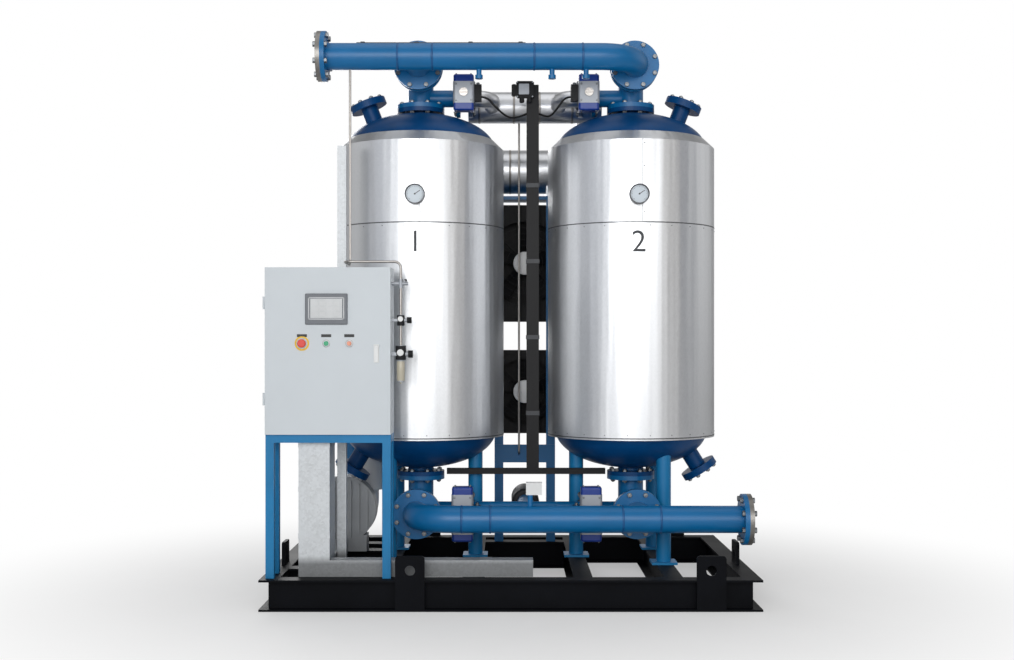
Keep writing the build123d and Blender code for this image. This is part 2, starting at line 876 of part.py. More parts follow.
# Electric heater: lagged shell on two saddles, element bundle in its flange
with BuildPart() as heater_vessel:
    span = heater_right_x - heater_left_x
    rod((heater_left_x, heater_y, heater_z), (1, 0, 0), heater_r, span)
    rod((heater_left_x, heater_y, heater_z), (1, 0, 0), heater_flange_r, heater_flange_thick)
    for x in post_x:
        block(
            (x - post_size / 2, heater_y - heater_r * 0.7, post_top + shelf_thick),
            (x + post_size / 2, heater_y + heater_r * 0.7, heater_z),
        )
    stub_reach = heater_r + heater_stub
    rod((heater_drop_x, heater_y, heater_z), (0, 0, 1), lagged_riser_r, stub_reach)
    rod((heater_inlet_x, heater_y, heater_z), (0, 0, -1), purge_pipe_r, stub_reach)
    rod(
        (heater_left_x, heater_y, heater_z), (1, 0, 0),
        heater_r - heater_wall, span - heater_wall, Mode.SUBTRACT,
    )
    rod((heater_drop_x, heater_y, heater_z), (0, 0, 1), small_bore_r, stub_reach, Mode.SUBTRACT)
    rod((heater_inlet_x, heater_y, heater_z), (0, 0, -1), purge_bore_r, stub_reach, Mode.SUBTRACT)
save(heater_vessel.part, "heater_vessel")

with BuildPart() as heater_elements:
    rod((heater_left_x, heater_y, heater_z), (-1, 0, 0), heater_flange_r, heater_flange_thick)
    block(
        (heater_left_x - heater_flange_thick - terminal_box, heater_y - terminal_box / 2, heater_z - terminal_box / 2),
        (heater_left_x - heater_flange_thick, heater_y + terminal_box / 2, heater_z + terminal_box / 2),
    )
    for index in range(6):
        angle = math.radians(60 * index)
        y = heater_y + element_circle_r * math.cos(angle)
        z = heater_z + element_circle_r * math.sin(angle)
        rod((heater_left_x, y, z), (1, 0, 0), element_r, element_length)
save(heater_elements.part, "heater_elements")


# Rear frame: two posts, heater shelf, tie plate
half_post = post_size / 2
frame_pieces = []
for x in post_x:
    frame_pieces.append(solid_box(
        (x - half_post, post_y - half_post, beam_height), (x + half_post, post_y + half_post, post_top),
    ))
frame_pieces.append(solid_box(
    (post_x[0] - half_post, post_y - half_post, post_top),
    (post_x[1] + half_post, post_y - half_post + shelf_depth, post_top + shelf_thick),
))
frame_pieces.append(solid_box(
    (post_x[0] - half_post, post_y - half_post - tie_plate_thick, tie_plate_low),
    (post_x[1] + half_post, post_y - half_post, tie_plate_high),
))
save_group(frame_pieces, "rear_frame")


# Air cooler: two shrouds behind the posts, each with a fan on struts
cooler_y = post_y + half_post
fans = ((cooler_upper, fan_upper_r), (cooler_lower, fan_lower_r))


def make_shroud(span, fan_r):
    centre_z = sum(span) / 2
    inside = sheet * 4
    low_x = cooler_x - cooler_width / 2
    back_y = cooler_y + cooler_depth
    with BuildPart() as shroud:
        block((low_x, cooler_y, span[0]), (low_x + cooler_width, back_y, span[1]))
        block(
            (low_x + inside, cooler_y + inside, span[0] + inside),
            (low_x + cooler_width - inside, back_y - inside, span[1] - inside),
            Mode.SUBTRACT,
        )
        rod((cooler_x, cooler_y, centre_z), (0, 1, 0), fan_r, cooler_depth / 2, Mode.SUBTRACT)
        strut_back = back_y - inside
        rod((cooler_x, strut_back, centre_z), (0, -1, 0), fan_motor_r, 24)
        rod((cooler_x, strut_back, centre_z), (0, -1, 0), fan_shaft_r + shaft_play, 24, Mode.SUBTRACT)
    return shroud.part


def make_fan(span, fan_r):
    centre = Vector(cooler_x, cooler_y + sheet, sum(span) / 2)
    blade_reach = fan_r - fan_tip_gap - fan_hub_r
    with BuildPart() as fan:
        rod(centre, (0, 1, 0), fan_hub_r, fan_hub_depth)
        rod(centre, (0, 1, 0), fan_shaft_r, cooler_depth - sheet * 5 - 3)
        for index in range(fan_blades):
            turn = 360 * index / fan_blades
            spoke = Vector(math.sin(math.radians(turn)), 0, math.cos(math.radians(turn)))
            across = Vector(0, 1, 0).cross(spoke)
            root = centre + Vector(0, fan_hub_depth / 2, 0) + spoke * (fan_hub_r - 6)
            root_way = (across + Vector(0, 0.42, 0)).normalized()
            tip_way = (across + Vector(0, 0.2, 0)).normalized()
            tip = root + spoke * blade_reach
            with BuildSketch(Plane(origin=root, x_dir=root_way, z_dir=spoke)) as blade_root:
                Rectangle(62, 4)
            with BuildSketch(Plane(origin=tip, x_dir=tip_way, z_dir=spoke)) as blade_tip:
                Rectangle(96, 4)
            loft([blade_root.sketch.face(), blade_tip.sketch.face()])
    return fan.part


save_group([make_shroud(span, fan_r) for span, fan_r in fans], "cooler_shrouds")
for level, (span, fan_r) in zip(("upper", "lower"), fans):
    save(make_fan(span, fan_r), f"cooler_fan_{level}")


# Side-channel blower: ribbed housing, rotor, finned motor, base
blower_back_y = blower_front_y + blower_depth
motor_end_y = blower_back_y + motor_length
with BuildPart() as blower_housing:
    rod((blower_x, blower_front_y, blower_z), (0, 1, 0), blower_r, blower_depth)
    for index in range(rib_count):
        reach = (index - (rib_count - 1) / 2) * 2 * blower_r / (rib_count + 1)
        half_rise = math.sqrt(blower_r**2 - reach**2) - 20
        block(
            (blower_x + reach - 4, blower_front_y - 14, blower_z - half_rise),
            (blower_x + reach + 4, blower_front_y, blower_z + half_rise),
        )
    block(
        (blower_x - 130, blower_front_y, beam_height),
        (blower_x + 130, blower_back_y, blower_z - blower_r + 40),
    )
    cavity_y = blower_front_y + blower_wall
    cavity_depth = blower_depth - 2 * blower_wall
    rod((blower_x, cavity_y, blower_z), (0, 1, 0), blower_r - blower_wall, cavity_depth, Mode.SUBTRACT)
    rod((blower_x, cavity_y, blower_z), (0, 1, 0), shaft_r + shaft_play, blower_depth, Mode.SUBTRACT)
save(blower_housing.part, "blower_housing")

with BuildPart() as blower_motor:
    rod((blower_x, blower_back_y, blower_z), (0, 1, 0), motor_r - fin_height, motor_length)
    for index in range(motor_fins):
        with Locations(Plane(origin=(blower_x, blower_back_y + 20, blower_z), z_dir=(0, 1, 0))):
            with Locations(Rotation(0, 0, 360 * (index + 0.5) / motor_fins)):
                Box(2 * motor_r, 6, motor_length - 40, align=(middle, middle, low_end))
    block(
        (blower_x - motor_r, blower_back_y + 60, beam_height),
        (blower_x + motor_r, motor_end_y - 50, beam_height + 16),
    )
    block(
        (blower_x - 20, blower_back_y + 80, beam_height),
        (blower_x + 20, motor_end_y - 70, blower_z - motor_r + 30),
    )
    rod((blower_x, motor_end_y - 12, blower_z), (0, 1, 0), motor_r + 4, cowl_length)
    rod((blower_x, motor_end_y, blower_z), (0, 1, 0), motor_r, cowl_length - 16, Mode.SUBTRACT)
    rod((blower_x, blower_back_y, blower_z), (0, 1, 0), shaft_r + shaft_play, motor_length + 1, Mode.SUBTRACT)
    with Locations(Plane(origin=(blower_x, motor_end_y, blower_z), z_dir=(0, 1, 0))):
        with PolarLocations(motor_r * 0.55, 8):
            Cylinder(12, cowl_length * 3, mode=Mode.SUBTRACT, align=(middle, middle, low_end))
save(blower_motor.part, "blower_motor")

with BuildPart() as blower_rotor:
    impeller_y = blower_front_y + (blower_depth - impeller_thick) / 2
    rod((blower_x, impeller_y, blower_z), (0, 1, 0), impeller_r, impeller_thick)
    rod((blower_x, impeller_y, blower_z), (0, 1, 0), shaft_r, motor_end_y + 20 - impeller_y)
    rod((blower_x, motor_end_y + 8, blower_z), (0, 1, 0), motor_r - 12, 16)
save(blower_rotor.part, "blower_rotor")

purge_route = (
    (blower_x, blower_back_y, blower_z + purge_port_rise),
    (blower_x, heater_y, blower_z + purge_port_rise),
    (blower_x, heater_y, purge_run_z),
    (heater_inlet_x, heater_y, purge_run_z),
    (heater_inlet_x, heater_y, heater_z - heater_r - heater_stub),
)
save(bent_tube(purge_route, purge_elbow_r, purge_pipe_r, purge_bore_r), "purge_pipe")

filter_route = (
    (filter_x, blower_back_y, blower_z),
    (filter_x, filter_y, blower_z),
    (filter_x, filter_y, filter_low + 5),
)
with BuildPart() as blower_filter:
    with BuildLine() as route:
        FilletPolyline(*filter_route, radius=50)
    with BuildSketch(Plane(origin=filter_route[0], z_dir=(0, 1, 0))) as section:
        Circle(filter_pipe_r)
    sweep(section.sketch, path=route.wire())
    rod((filter_x, filter_y, filter_low), (0, 0, 1), filter_r, filter_high - filter_low)
    fillet(blower_filter.faces().sort_by(Axis.Z)[-1].edges(), 20)
save(blower_filter.part, "blower_filter")


# Cabinet stand: four square legs and a top ring, welded face to face
cabinet_right = cabinet_left + cabinet_width
box_front_y = door_front_y + door_thick + door_gap
ring_low = cabinet_bottom - tube_size
stand_pieces = []
for x in (cabinet_left, cabinet_right - tube_size):
    for y in (box_front_y, cabinet_back_y - tube_size):
        stand_pieces.append(solid_box((x, y, beam_height), (x + tube_size, y + tube_size, ring_low)))
    stand_pieces.append(solid_box(
        (x, box_front_y + tube_size, ring_low),
        (x + tube_size, cabinet_back_y - tube_size, cabinet_bottom),
    ))
for y in (box_front_y, cabinet_back_y - tube_size):
    stand_pieces.append(solid_box(
        (cabinet_left, y, ring_low), (cabinet_right, y + tube_size, cabinet_bottom),
    ))
save_group(stand_pieces, "cabinet_stand")


# Control cabinet: folded box, lift-off hinge halves, door with its fittings
cabinet_top = cabinet_bottom + cabinet_height
air_x = cabinet_right + air_offset
ball_valve_z = cabinet_top - ball_valve_drop
regulator_z = [cabinet_top - drop for drop in regulator_drops]
hinge_axis_x = cabinet_left - hinge_out
hinge_axis_y = door_front_y + hinge_back
with BuildPart() as cabinet_box:
    block((cabinet_left, box_front_y, cabinet_bottom), (cabinet_right, cabinet_back_y, cabinet_top))
    block(
        (cabinet_left + sheet, box_front_y, cabinet_bottom + sheet),
        (cabinet_right - sheet, cabinet_back_y - sheet, cabinet_top - sheet),
        Mode.SUBTRACT,
    )
    for z in hinge_z:
        rod((hinge_axis_x, hinge_axis_y, z), (0, 0, 1), knuckle_r, knuckle_length)
        rod((hinge_axis_x, hinge_axis_y, z), (0, 0, 1), hinge_pin_r, 2 * knuckle_length - 4)
        block((hinge_axis_x, hinge_axis_y, z), (cabinet_left - 1, box_front_y + 15, z + knuckle_length))
        block((hinge_axis_x, box_front_y, z), (cabinet_left, box_front_y + 15, z + knuckle_length))
save(cabinet_box.part, "cabinet_box")

with BuildPart() as cabinet_door:
    skin_y = door_front_y + sheet
    block(
        (cabinet_left, door_front_y, cabinet_bottom),
        (cabinet_right, door_front_y + door_thick, cabinet_top),
    )
    block(
        (cabinet_left + sheet, skin_y, cabinet_bottom + sheet),
        (cabinet_right - sheet, door_front_y + door_thick, cabinet_top - sheet),
        Mode.SUBTRACT,
    )
    for x, ring_r in ((estop_x, estop_bezel_r), (start_x, bezel_r), (lamp_x, bezel_r)):
        rod((x, skin_y, button_z), (0, -1, 0), ring_r, sheet + bezel_thick)
        rod((x, skin_y, button_z), (0, -1, 0), button_r + button_play, sheet + bezel_thick, Mode.SUBTRACT)
    body_width = hmi_width - 2 * hmi_body_inset
    body_height = hmi_height - 2 * hmi_body_inset
    block(
        (hmi_x - body_width / 2 - 1, door_front_y, hmi_z - body_height / 2 - 1),
        (hmi_x + body_width / 2 + 1, skin_y, hmi_z + body_height / 2 + 1),
        Mode.SUBTRACT,
    )
    for z in hinge_z:
        low = z + knuckle_length + seat_gap
        rod((hinge_axis_x, hinge_axis_y, low), (0, 0, 1), knuckle_r, knuckle_length)
        block((hinge_axis_x, hinge_axis_y - 4, low), (cabinet_left + 1, hinge_axis_y + 4, low + knuckle_length))
        rod((hinge_axis_x, hinge_axis_y, low), (0, 0, 1), hinge_pin_r + stem_play, knuckle_length - 2, Mode.SUBTRACT)
save(cabinet_door.part, "cabinet_door")

with BuildPart() as hmi_panel:
    block(
        (hmi_x - hmi_width / 2, door_front_y - hmi_frame, hmi_z - hmi_height / 2),
        (hmi_x + hmi_width / 2, door_front_y, hmi_z + hmi_height / 2),
    )
    fillet(hmi_panel.edges().filter_by(Axis.Y), 5)
    chamfer(hmi_panel.faces().sort_by(Axis.Y)[0].edges(), 3)
    block(
        (hmi_x - body_width / 2, door_front_y, hmi_z - body_height / 2),
        (hmi_x + body_width / 2, door_front_y + hmi_body_depth, hmi_z + body_height / 2),
    )
    block(
        (hmi_x - hmi_width * 0.38, door_front_y - hmi_frame, hmi_z - hmi_height * 0.30),
        (hmi_x + hmi_width * 0.38, door_front_y - hmi_frame + 2, hmi_z + hmi_height * 0.34),
        Mode.SUBTRACT,
    )
save(hmi_panel.part, "hmi_panel")


def make_button(x, head_r, head, travel):
    """A push button: head in front, stem through the bezel, keeper behind."""
    head_back = door_front_y - bezel_thick - travel - 1
    with BuildPart() as button:
        rod((x, head_back, button_z), (0, -1, 0), head_r, head)
        fillet(button.faces().sort_by(Axis.Y)[0].edges(), 0.3 * head)
        rod((x, head_back - 1, button_z), (0, 1, 0), button_r, skin_y + seat_gap + 2 - head_back)
        rod((x, skin_y + seat_gap, button_z), (0, 1, 0), button_r + 3, 3)
    return button.part


save(make_button(estop_x, estop_r, estop_head, estop_travel), "estop_button")
save(make_button(start_x, button_r, start_head, start_travel), "start_button")
with BuildPart() as alarm_lamp:
    rod((lamp_x, skin_y, button_z), (0, -1, 0), button_r, sheet + bezel_thick + 7)
    rod((lamp_x, skin_y, button_z), (0, 1, 0), button_r + 3, 3)
    fillet(alarm_lamp.faces().sort_by(Axis.Y)[0].edges(), 3)
save(alarm_lamp.part, "alarm_lamp")

# Door lock: plate with two ears, lever hung on a pin at its top
ear_z = lock_z + lock_height / 2 - 8
pin_y = door_front_y - lock_thick - 6
with BuildPart() as door_lock_plate:
    block(
        (lock_x - lock_width / 2, door_front_y - lock_thick, lock_z - lock_height / 2),
        (lock_x + lock_width / 2, door_front_y, lock_z + lock_height / 2),
    )
    for side in (-1, 1):
        ear_x = lock_x + side * (lock_width / 2 - 2)
        block((ear_x - 2, pin_y - 5, ear_z - 6), (ear_x + 2, door_front_y, ear_z + 6))
    pin_start = (lock_x - lock_width / 2 - 1, pin_y, ear_z)
    rod(pin_start, (1, 0, 0), lever_pin_r + stem_play, lock_width + 2, Mode.SUBTRACT)
save(door_lock_plate.part, "door_lock_plate")

with BuildPart() as door_lock_lever:
    half_lever = lock_width / 2 - 4 - seat_gap
    block((lock_x - half_lever, pin_y - 4, lock_z - lock_height / 2 + 3), (lock_x + half_lever, pin_y + 4, ear_z))
    rod((lock_x - half_lever, pin_y, ear_z), (1, 0, 0), 4, 2 * half_lever)
    rod((lock_x - lock_width / 2, pin_y, ear_z), (1, 0, 0), lever_pin_r, lock_width)
save(door_lock_lever.part, "door_lock_lever")

# Gear inside the cabinet: mounting plate with controller, breakers, terminals
plate_front_y = cabinet_back_y - sheet - 4
with BuildPart() as control_modules:
    block(
        (cabinet_left + 40, plate_front_y, cabinet_bottom + 40),
        (cabinet_right - 40, cabinet_back_y - sheet, cabinet_top - 40),
    )
    block(
        (cabinet_left + 80, plate_front_y - 75, cabinet_top - 220),
        (cabinet_left + 300, plate_front_y, cabinet_top - 110),
    )
    for index in range(6):
        low_x = cabinet_left + 80 + 36 * index
        block((low_x, plate_front_y - 70, cabinet_top - 420), (low_x + 34, plate_front_y, cabinet_top - 335))
    for index in range(3):
        low_x = cabinet_left + 80 + 60 * index
        block((low_x, plate_front_y - 85, cabinet_bottom + 230), (low_x + 50, plate_front_y, cabinet_bottom + 320))
    block(
        (cabinet_left + 80, plate_front_y - 45, cabinet_bottom + 90),
        (cabinet_right - 80, plate_front_y, cabinet_bottom + 140),
    )
save(control_modules.part, "control_modules")


# Galvanised cable trunking and the black conduit between the towers
trunk_top = beam_height + trunk_height
trunk_pieces = [
    solid_box((trunk_left, trunk_front_y, beam_height), (trunk_right, trunk_back_y, ring_low)),
    solid_box((trunk_left, trunk_front_y, ring_low), (trunk_right, floor_trunk_y[1], cabinet_bottom)),
    solid_box((trunk_left, trunk_back_y, beam_height), (trunk_right, trunk_run_end_y, trunk_top)),
    solid_box((trunk_right, floor_trunk_y[0], beam_height), (floor_trunk_end_x, floor_trunk_y[1], trunk_top)),
    solid_box(
        (riser_duct_x[0], riser_duct_y[0], beam_height), (riser_duct_x[1], riser_duct_y[1], riser_duct_top),
    ),
]
save_group(trunk_pieces, "cable_trunking")

conduit_pieces = [
    solid_box((conduit_x[0], conduit_y[0], conduit_z[0]), (conduit_x[1], conduit_y[1], conduit_z[1])),
    solid_box((post_conduit_x[0], conduit_y[0], conduit_z[1]), (post_conduit_x[1], conduit_y[1], post_conduit_top)),
]
save_group(conduit_pieces, "centre_conduit")


# Pressure gauges on the tower fronts
gauge_back_y = -clad_r - gauge_standoff
gauge_front_y = gauge_back_y - gauge_depth
dial_y = gauge_front_y + gauge_recess


def make_gauge(x):
    with BuildPart() as gauge:
        rod((x, -vessel_r, gauge_z), (0, -1, 0), gauge_stem_r, -gauge_back_y - vessel_r)
        rod((x, gauge_back_y, gauge_z), (0, -1, 0), gauge_r, gauge_depth)
        rod((x, dial_y, gauge_z), (0, -1, 0), gauge_r - gauge_rim, gauge_recess, Mode.SUBTRACT)
        rod((x, dial_y + 6, gauge_z), (0, -1, 0), needle_pin_r + stem_play, 7, Mode.SUBTRACT)
    return gauge.part


def make_needle(x):
    back = dial_y - seat_gap
    needle_plane = Plane(origin=(x, back, gauge_z), x_dir=(0.83, 0, 0.56), z_dir=(0, -1, 0))
    with BuildPart() as needle:
        rod((x, dial_y + 5, gauge_z), (0, -1, 0), needle_pin_r, 5 + seat_gap + needle_thick)
        rod((x, back, gauge_z), (0, -1, 0), 4, needle_thick + 1)
        with BuildSketch(needle_plane) as pointer:
            with Locations((needle_length / 2 - 5, 0)):
                Rectangle(needle_length, needle_width)
        extrude(pointer.sketch, amount=needle_thick)
    return needle.part


save_group([make_gauge(x) for _, x, _ in towers], "pressure_gauges")
for letter, x, _ in towers:
    save(make_needle(x), f"gauge_needle_{letter}")


# Air preparation on the cabinet's right wall: valve, regulators, filter bowl
with BuildPart() as stop_valve:
    rod((cabinet_right, air_y, ball_valve_z), (1, 0, 0), 9, 80)
    rod((air_x, air_y, ball_valve_z - 22), (0, 0, 1), 12, 44)
    rod((air_x + 12, air_y, ball_valve_z), (1, 0, 0), 7, 22)
    lever_hole = (air_x + 25, air_y, ball_valve_z)
    rod(lever_hole, (0, 0, 1), 3 + stem_play, 12, Mode.SUBTRACT)
with BuildPart() as upper_regulator:
    block((cabinet_right, air_y - 12, regulator_z[0] - 6), (air_x, air_y + 12, regulator_z[0] + 6))
    rod((air_x, air_y, regulator_z[0] - 26), (0, 0, 1), 17, 52)
    rod((air_x, air_y, regulator_z[0]), (1, 0, 0), 10, 30)
    rod((air_x + 18, air_y, regulator_z[0]), (1, 0, 0), 4 + stem_play, 14, Mode.SUBTRACT)
with BuildPart() as filter_regulator:
    block((cabinet_right, air_y - 16, regulator_z[1] - 8), (air_x, air_y + 16, regulator_z[1] + 8))
    rod((air_x, air_y, regulator_z[1] - 28), (0, 0, 1), 24, 70)
    rod((air_x, air_y, regulator_z[1]), (1, 0, 0), 13, 36)
    rod((air_x, air_y, regulator_z[1] - 135), (0, 0, 1), 18, 108)
    rod((air_x + 22, air_y, regulator_z[1]), (1, 0, 0), 4 + stem_play, 16, Mode.SUBTRACT)
save_group([stop_valve.part, upper_regulator.part, filter_regulator.part], "air_preparation")

with BuildPart() as ball_valve_lever:
    rod((air_x + 25, air_y, ball_valve_z + 0.5), (0, 0, 1), 3, 20)
    block(
        (air_x + 20, air_y - 36, ball_valve_z + 14), (air_x + 30, air_y + 6, ball_valve_z + 20),
    )
save(ball_valve_lever.part, "ball_valve_lever")

for name, z, face_x, grip_r, hub_length in (
    ("regulator_knob_upper", regulator_z[0], air_x + 30 + seat_gap, 15, 12),
    ("regulator_knob_lower", regulator_z[1], air_x + 36 + seat_gap, 18, 14),
):
    with BuildPart() as knob:
        rod((face_x, air_y, z), (1, 0, 0), grip_r, 22)
        rod((face_x + 1, air_y, z), (-1, 0, 0), 4, hub_length + 1)
        with Locations(Plane(origin=(face_x + 6, air_y, z), z_dir=(1, 0, 0))):
            with PolarLocations(grip_r, 8):
                Cylinder(2.2, 18, mode=Mode.SUBTRACT, align=(middle, middle, low_end))
    save(knob.part, name)


# Stainless instrument tubes
air_line = bent_tube(
    (
        (tube_drop_x, top_header_y, top_axis_z - pipe_r),
        (tube_drop_x, top_header_y, cabinet_top + 30),
        (tube_drop_x, air_y, cabinet_top + 30),
        (air_x, air_y, cabinet_top + 30),
        (air_x, air_y, ball_valve_z + 22),
    ),
    tube_corner, tube_r,
)
middle_line = solid_rod((air_x, air_y, regulator_z[0] + 26), (0, 0, 1), tube_r, ball_valve_z - 48 - regulator_z[0])
lower_line = solid_rod((air_x, air_y, regulator_z[1] + 42), (0, 0, 1), tube_r, regulator_z[0] - 68 - regulator_z[1])
sense_y = heater_y - heater_r - tube_r - 5
sense_low = (tie_plate_low + tie_plate_high) / 2
sense_tubes = [
    bent_tube(
        (
            (x, manifold_y + lagged_r, top_side_z),
            (x, sense_y, top_side_z),
            (x, sense_y, sense_low),
            (x, post_y - half_post - tie_plate_thick, sense_low),
        ),
        3 * tube_r, tube_r,
    )
    for x in sense_tube_x
]
save_group([air_line, middle_line, lower_line, *sense_tubes], "instrument_tubing")

with BuildPart() as dew_point_sensor:
    block(
        (dew_box_x - dew_box[0] / 2, low_header_y - dew_box[1] / 2, dew_box_low),
        (dew_box_x + dew_box[0] / 2, low_header_y + dew_box[1] / 2, dew_box_low + dew_box[2]),
    )
save(dew_point_sensor.part, "dew_point_sensor")
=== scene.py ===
"""Looks of the twin-tower desiccant air dryer: materials, small trim, light and camera."""
import math
import random

import bmesh
import bpy
from mathutils import Matrix, Vector


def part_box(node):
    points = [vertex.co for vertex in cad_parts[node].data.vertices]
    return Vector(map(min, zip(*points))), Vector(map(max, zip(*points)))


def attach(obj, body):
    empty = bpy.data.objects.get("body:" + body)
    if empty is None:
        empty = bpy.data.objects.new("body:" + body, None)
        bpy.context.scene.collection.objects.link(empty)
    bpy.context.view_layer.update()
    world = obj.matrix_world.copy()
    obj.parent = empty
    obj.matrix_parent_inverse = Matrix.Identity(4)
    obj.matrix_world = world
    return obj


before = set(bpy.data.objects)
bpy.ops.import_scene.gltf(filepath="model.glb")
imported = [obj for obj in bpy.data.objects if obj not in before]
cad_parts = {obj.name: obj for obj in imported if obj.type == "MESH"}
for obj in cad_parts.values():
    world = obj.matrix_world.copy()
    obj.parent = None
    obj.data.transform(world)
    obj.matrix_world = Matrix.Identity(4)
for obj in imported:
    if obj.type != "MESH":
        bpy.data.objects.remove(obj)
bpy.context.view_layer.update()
random.seed(7)

# Places shared with the frame, in metres
tower_x = [sum(c[0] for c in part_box(f"tower_{letter}_cladding")) / 2 for letter in "ab"]
clad_low, clad_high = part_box("tower_a_cladding")
clad_r = (clad_high[1] - clad_low[1]) / 2
seam_z = 1.884
shoulder_z = clad_high[2] - 0.05
top_z, top_y = 2.710, -0.430
low_z, low_y = 0.415, -0.560
pipe_r = 0.0665


# ---------------------------------------------------------------- materials
def node(tree, kind, **values):
    """A shader node with its sockets and settings given by name."""
    made = tree.nodes.new(kind)
    for key, value in values.items():
        if hasattr(made, key):
            setattr(made, key, value)
        else:
            made.inputs[key.replace("_", " ")].default_value = value
    return made


def ramp(tree, source, stops):
    """A colour ramp driven by source, with (place, colour) stops."""
    made = tree.nodes.new("ShaderNodeValToRGB")
    while len(made.color_ramp.elements) < len(stops):
        made.color_ramp.elements.new(0.5)
    for element, (place, colour) in zip(made.color_ramp.elements, stops):
        element.position = place
        element.color = (*colour, 1)
    tree.links.new(source, made.inputs["Fac"])
    return made.outputs["Color"]


def shade(colour, factor):
    return tuple(min(1, c * factor) for c in colour)


def surface(name, colour, rough=0.4, metal=0.0, patch=0.15, patch_size=4.0, grain=300.0,
            grain_height=0.0003, coat=0.0, stretch=(1, 1, 1), spangle=0.0, spangle_share=0.35,
            specular=0.5, ripple=0.0, painted_shade_below=None):
    """Procedural finish: cloudy colour, uneven gloss and a fine surface grain, with painted shade below an optional
    height.
    """
    material = bpy.data.materials.new(name)
    material.use_nodes = True
    tree = material.node_tree
    shader = tree.nodes["Principled BSDF"]
    shader.inputs["Metallic"].default_value = metal
    shader.inputs["Coat Weight"].default_value = coat
    shader.inputs["Coat Roughness"].default_value = 0.15
    shader.inputs["Specular IOR Level"].default_value = specular
    place = tree.nodes.new("ShaderNodeTexCoord").outputs["Object"]
    scaled = node(tree, "ShaderNodeMapping")
    scaled.inputs["Scale"].default_value = stretch
    tree.links.new(place, scaled.inputs["Vector"])
    place = scaled.outputs["Vector"]
    cloud = node(tree, "ShaderNodeTexNoise", Scale=patch_size, Detail=6.0, Roughness=0.6)
    tree.links.new(place, cloud.inputs["Vector"])
    tone = cloud.outputs["Fac"]
    if spangle:
        cells = node(tree, "ShaderNodeTexVoronoi", Scale=spangle)
        tree.links.new(place, cells.inputs["Vector"])
        split = tree.nodes.new("ShaderNodeSeparateColor")
        tree.links.new(cells.outputs["Color"], split.inputs["Color"])
        mixed = node(tree, "ShaderNodeMath", operation="MULTIPLY_ADD")
        mixed.inputs[1].default_value = spangle_share
        tree.links.new(split.outputs["Red"], mixed.inputs[0])
        tree.links.new(tone, mixed.inputs[2])
        tone = mixed.outputs[0]
    stops = ((0.25, shade(colour, 1 - patch)), (0.5, colour), (0.8, shade(colour, 1 + patch)))
    tint = ramp(tree, tone, stops)
    # Painted shade: below this height the colour is dimmed to 0.35 of itself, standing in for shadow on the low parts.
    if painted_shade_below:
        height = tree.nodes.new("ShaderNodeSeparateXYZ")
        tree.links.new(tree.nodes.new("ShaderNodeTexCoord").outputs["Object"], height.inputs[0])
        painted_shade_fade = node(tree, "ShaderNodeMapRange")
        painted_shade_fade.inputs["From Min"].default_value = painted_shade_below - 0.02
        painted_shade_fade.inputs["From Max"].default_value = painted_shade_below + 0.02
        painted_shade_fade.inputs["To Min"].default_value = 0.35
        tree.links.new(height.outputs["Z"], painted_shade_fade.inputs["Value"])
        dimmed = node(tree, "ShaderNodeVectorMath", operation="SCALE")
        tree.links.new(tint, dimmed.inputs[0])
        tree.links.new(painted_shade_fade.outputs["Result"], dimmed.inputs["Scale"])
        tint = dimmed.outputs["Vector"]
    tree.links.new(tint, shader.inputs["Base Color"])
    spread = node(tree, "ShaderNodeMapRange")
    spread.inputs["To Min"].default_value = max(0.05, rough - 0.08)
    spread.inputs["To Max"].default_value = min(1.0, rough + 0.10)
    tree.links.new(tone, spread.inputs["Value"])
    tree.links.new(spread.outputs["Result"], shader.inputs["Roughness"])
    fine = node(tree, "ShaderNodeTexNoise", Scale=grain, Detail=3.0)
    tree.links.new(place, fine.inputs["Vector"])
    bump = node(tree, "ShaderNodeBump", Strength=0.6, Distance=grain_height)
    tree.links.new(fine.outputs["Fac"], bump.inputs["Height"])
    if ripple:
        drawn = node(tree, "ShaderNodeMapping")
        drawn.inputs["Scale"].default_value = (1, 1, 0.06)
        tree.links.new(place, drawn.inputs["Vector"])
        wave = node(tree, "ShaderNodeTexNoise", Scale=9.0, Detail=2.0)
        tree.links.new(drawn.outputs["Vector"], wave.inputs["Vector"])
        roll = node(tree, "ShaderNodeBump", Strength=1.0, Distance=ripple)
        tree.links.new(wave.outputs["Fac"], roll.inputs["Height"])
        tree.links.new(roll.outputs["Normal"], bump.inputs["Normal"])
    tree.links.new(bump.outputs["Normal"], shader.inputs["Normal"])
    return material


pipe_blue = surface("pipe_blue", (0.001, 0.135, 0.350), rough=0.34, patch=0.12, grain=180, specular=0.45)
# Painted shade: the vessel domes and port covers take a darker copy of the pipes' blue paint, standing in for the
# shade on them.
dome_blue_painted_shade = surface("dome_blue_painted_shade", (0.0008, 0.055, 0.185), rough=0.34, patch=0.2, grain=160, specular=0.2)
leg_blue = surface("leg_blue", (0.006, 0.185, 0.420), rough=0.40, patch=0.12, grain=160, specular=0.35)
black_paint = surface("black_paint", (0.0040, 0.0045, 0.0062), rough=0.50, patch=0.4, grain=140, specular=0.06)
valve_black = surface("valve_black", (0.012, 0.012, 0.014), rough=0.55, patch=0.3, grain=220, grain_height=0.0006,
                      specular=0.25)
plastic_black = surface("plastic_black", (0.010, 0.010, 0.011), rough=0.5, patch=0.25, grain=500, specular=0.2)
cladding = surface("cladding", (0.61, 0.62, 0.635), rough=0.36, metal=1.0, patch=0.06, patch_size=1.2, grain=900,
                   grain_height=0.00012, spangle=150, spangle_share=0.30, stretch=(1, 1, 0.6), ripple=0.009)
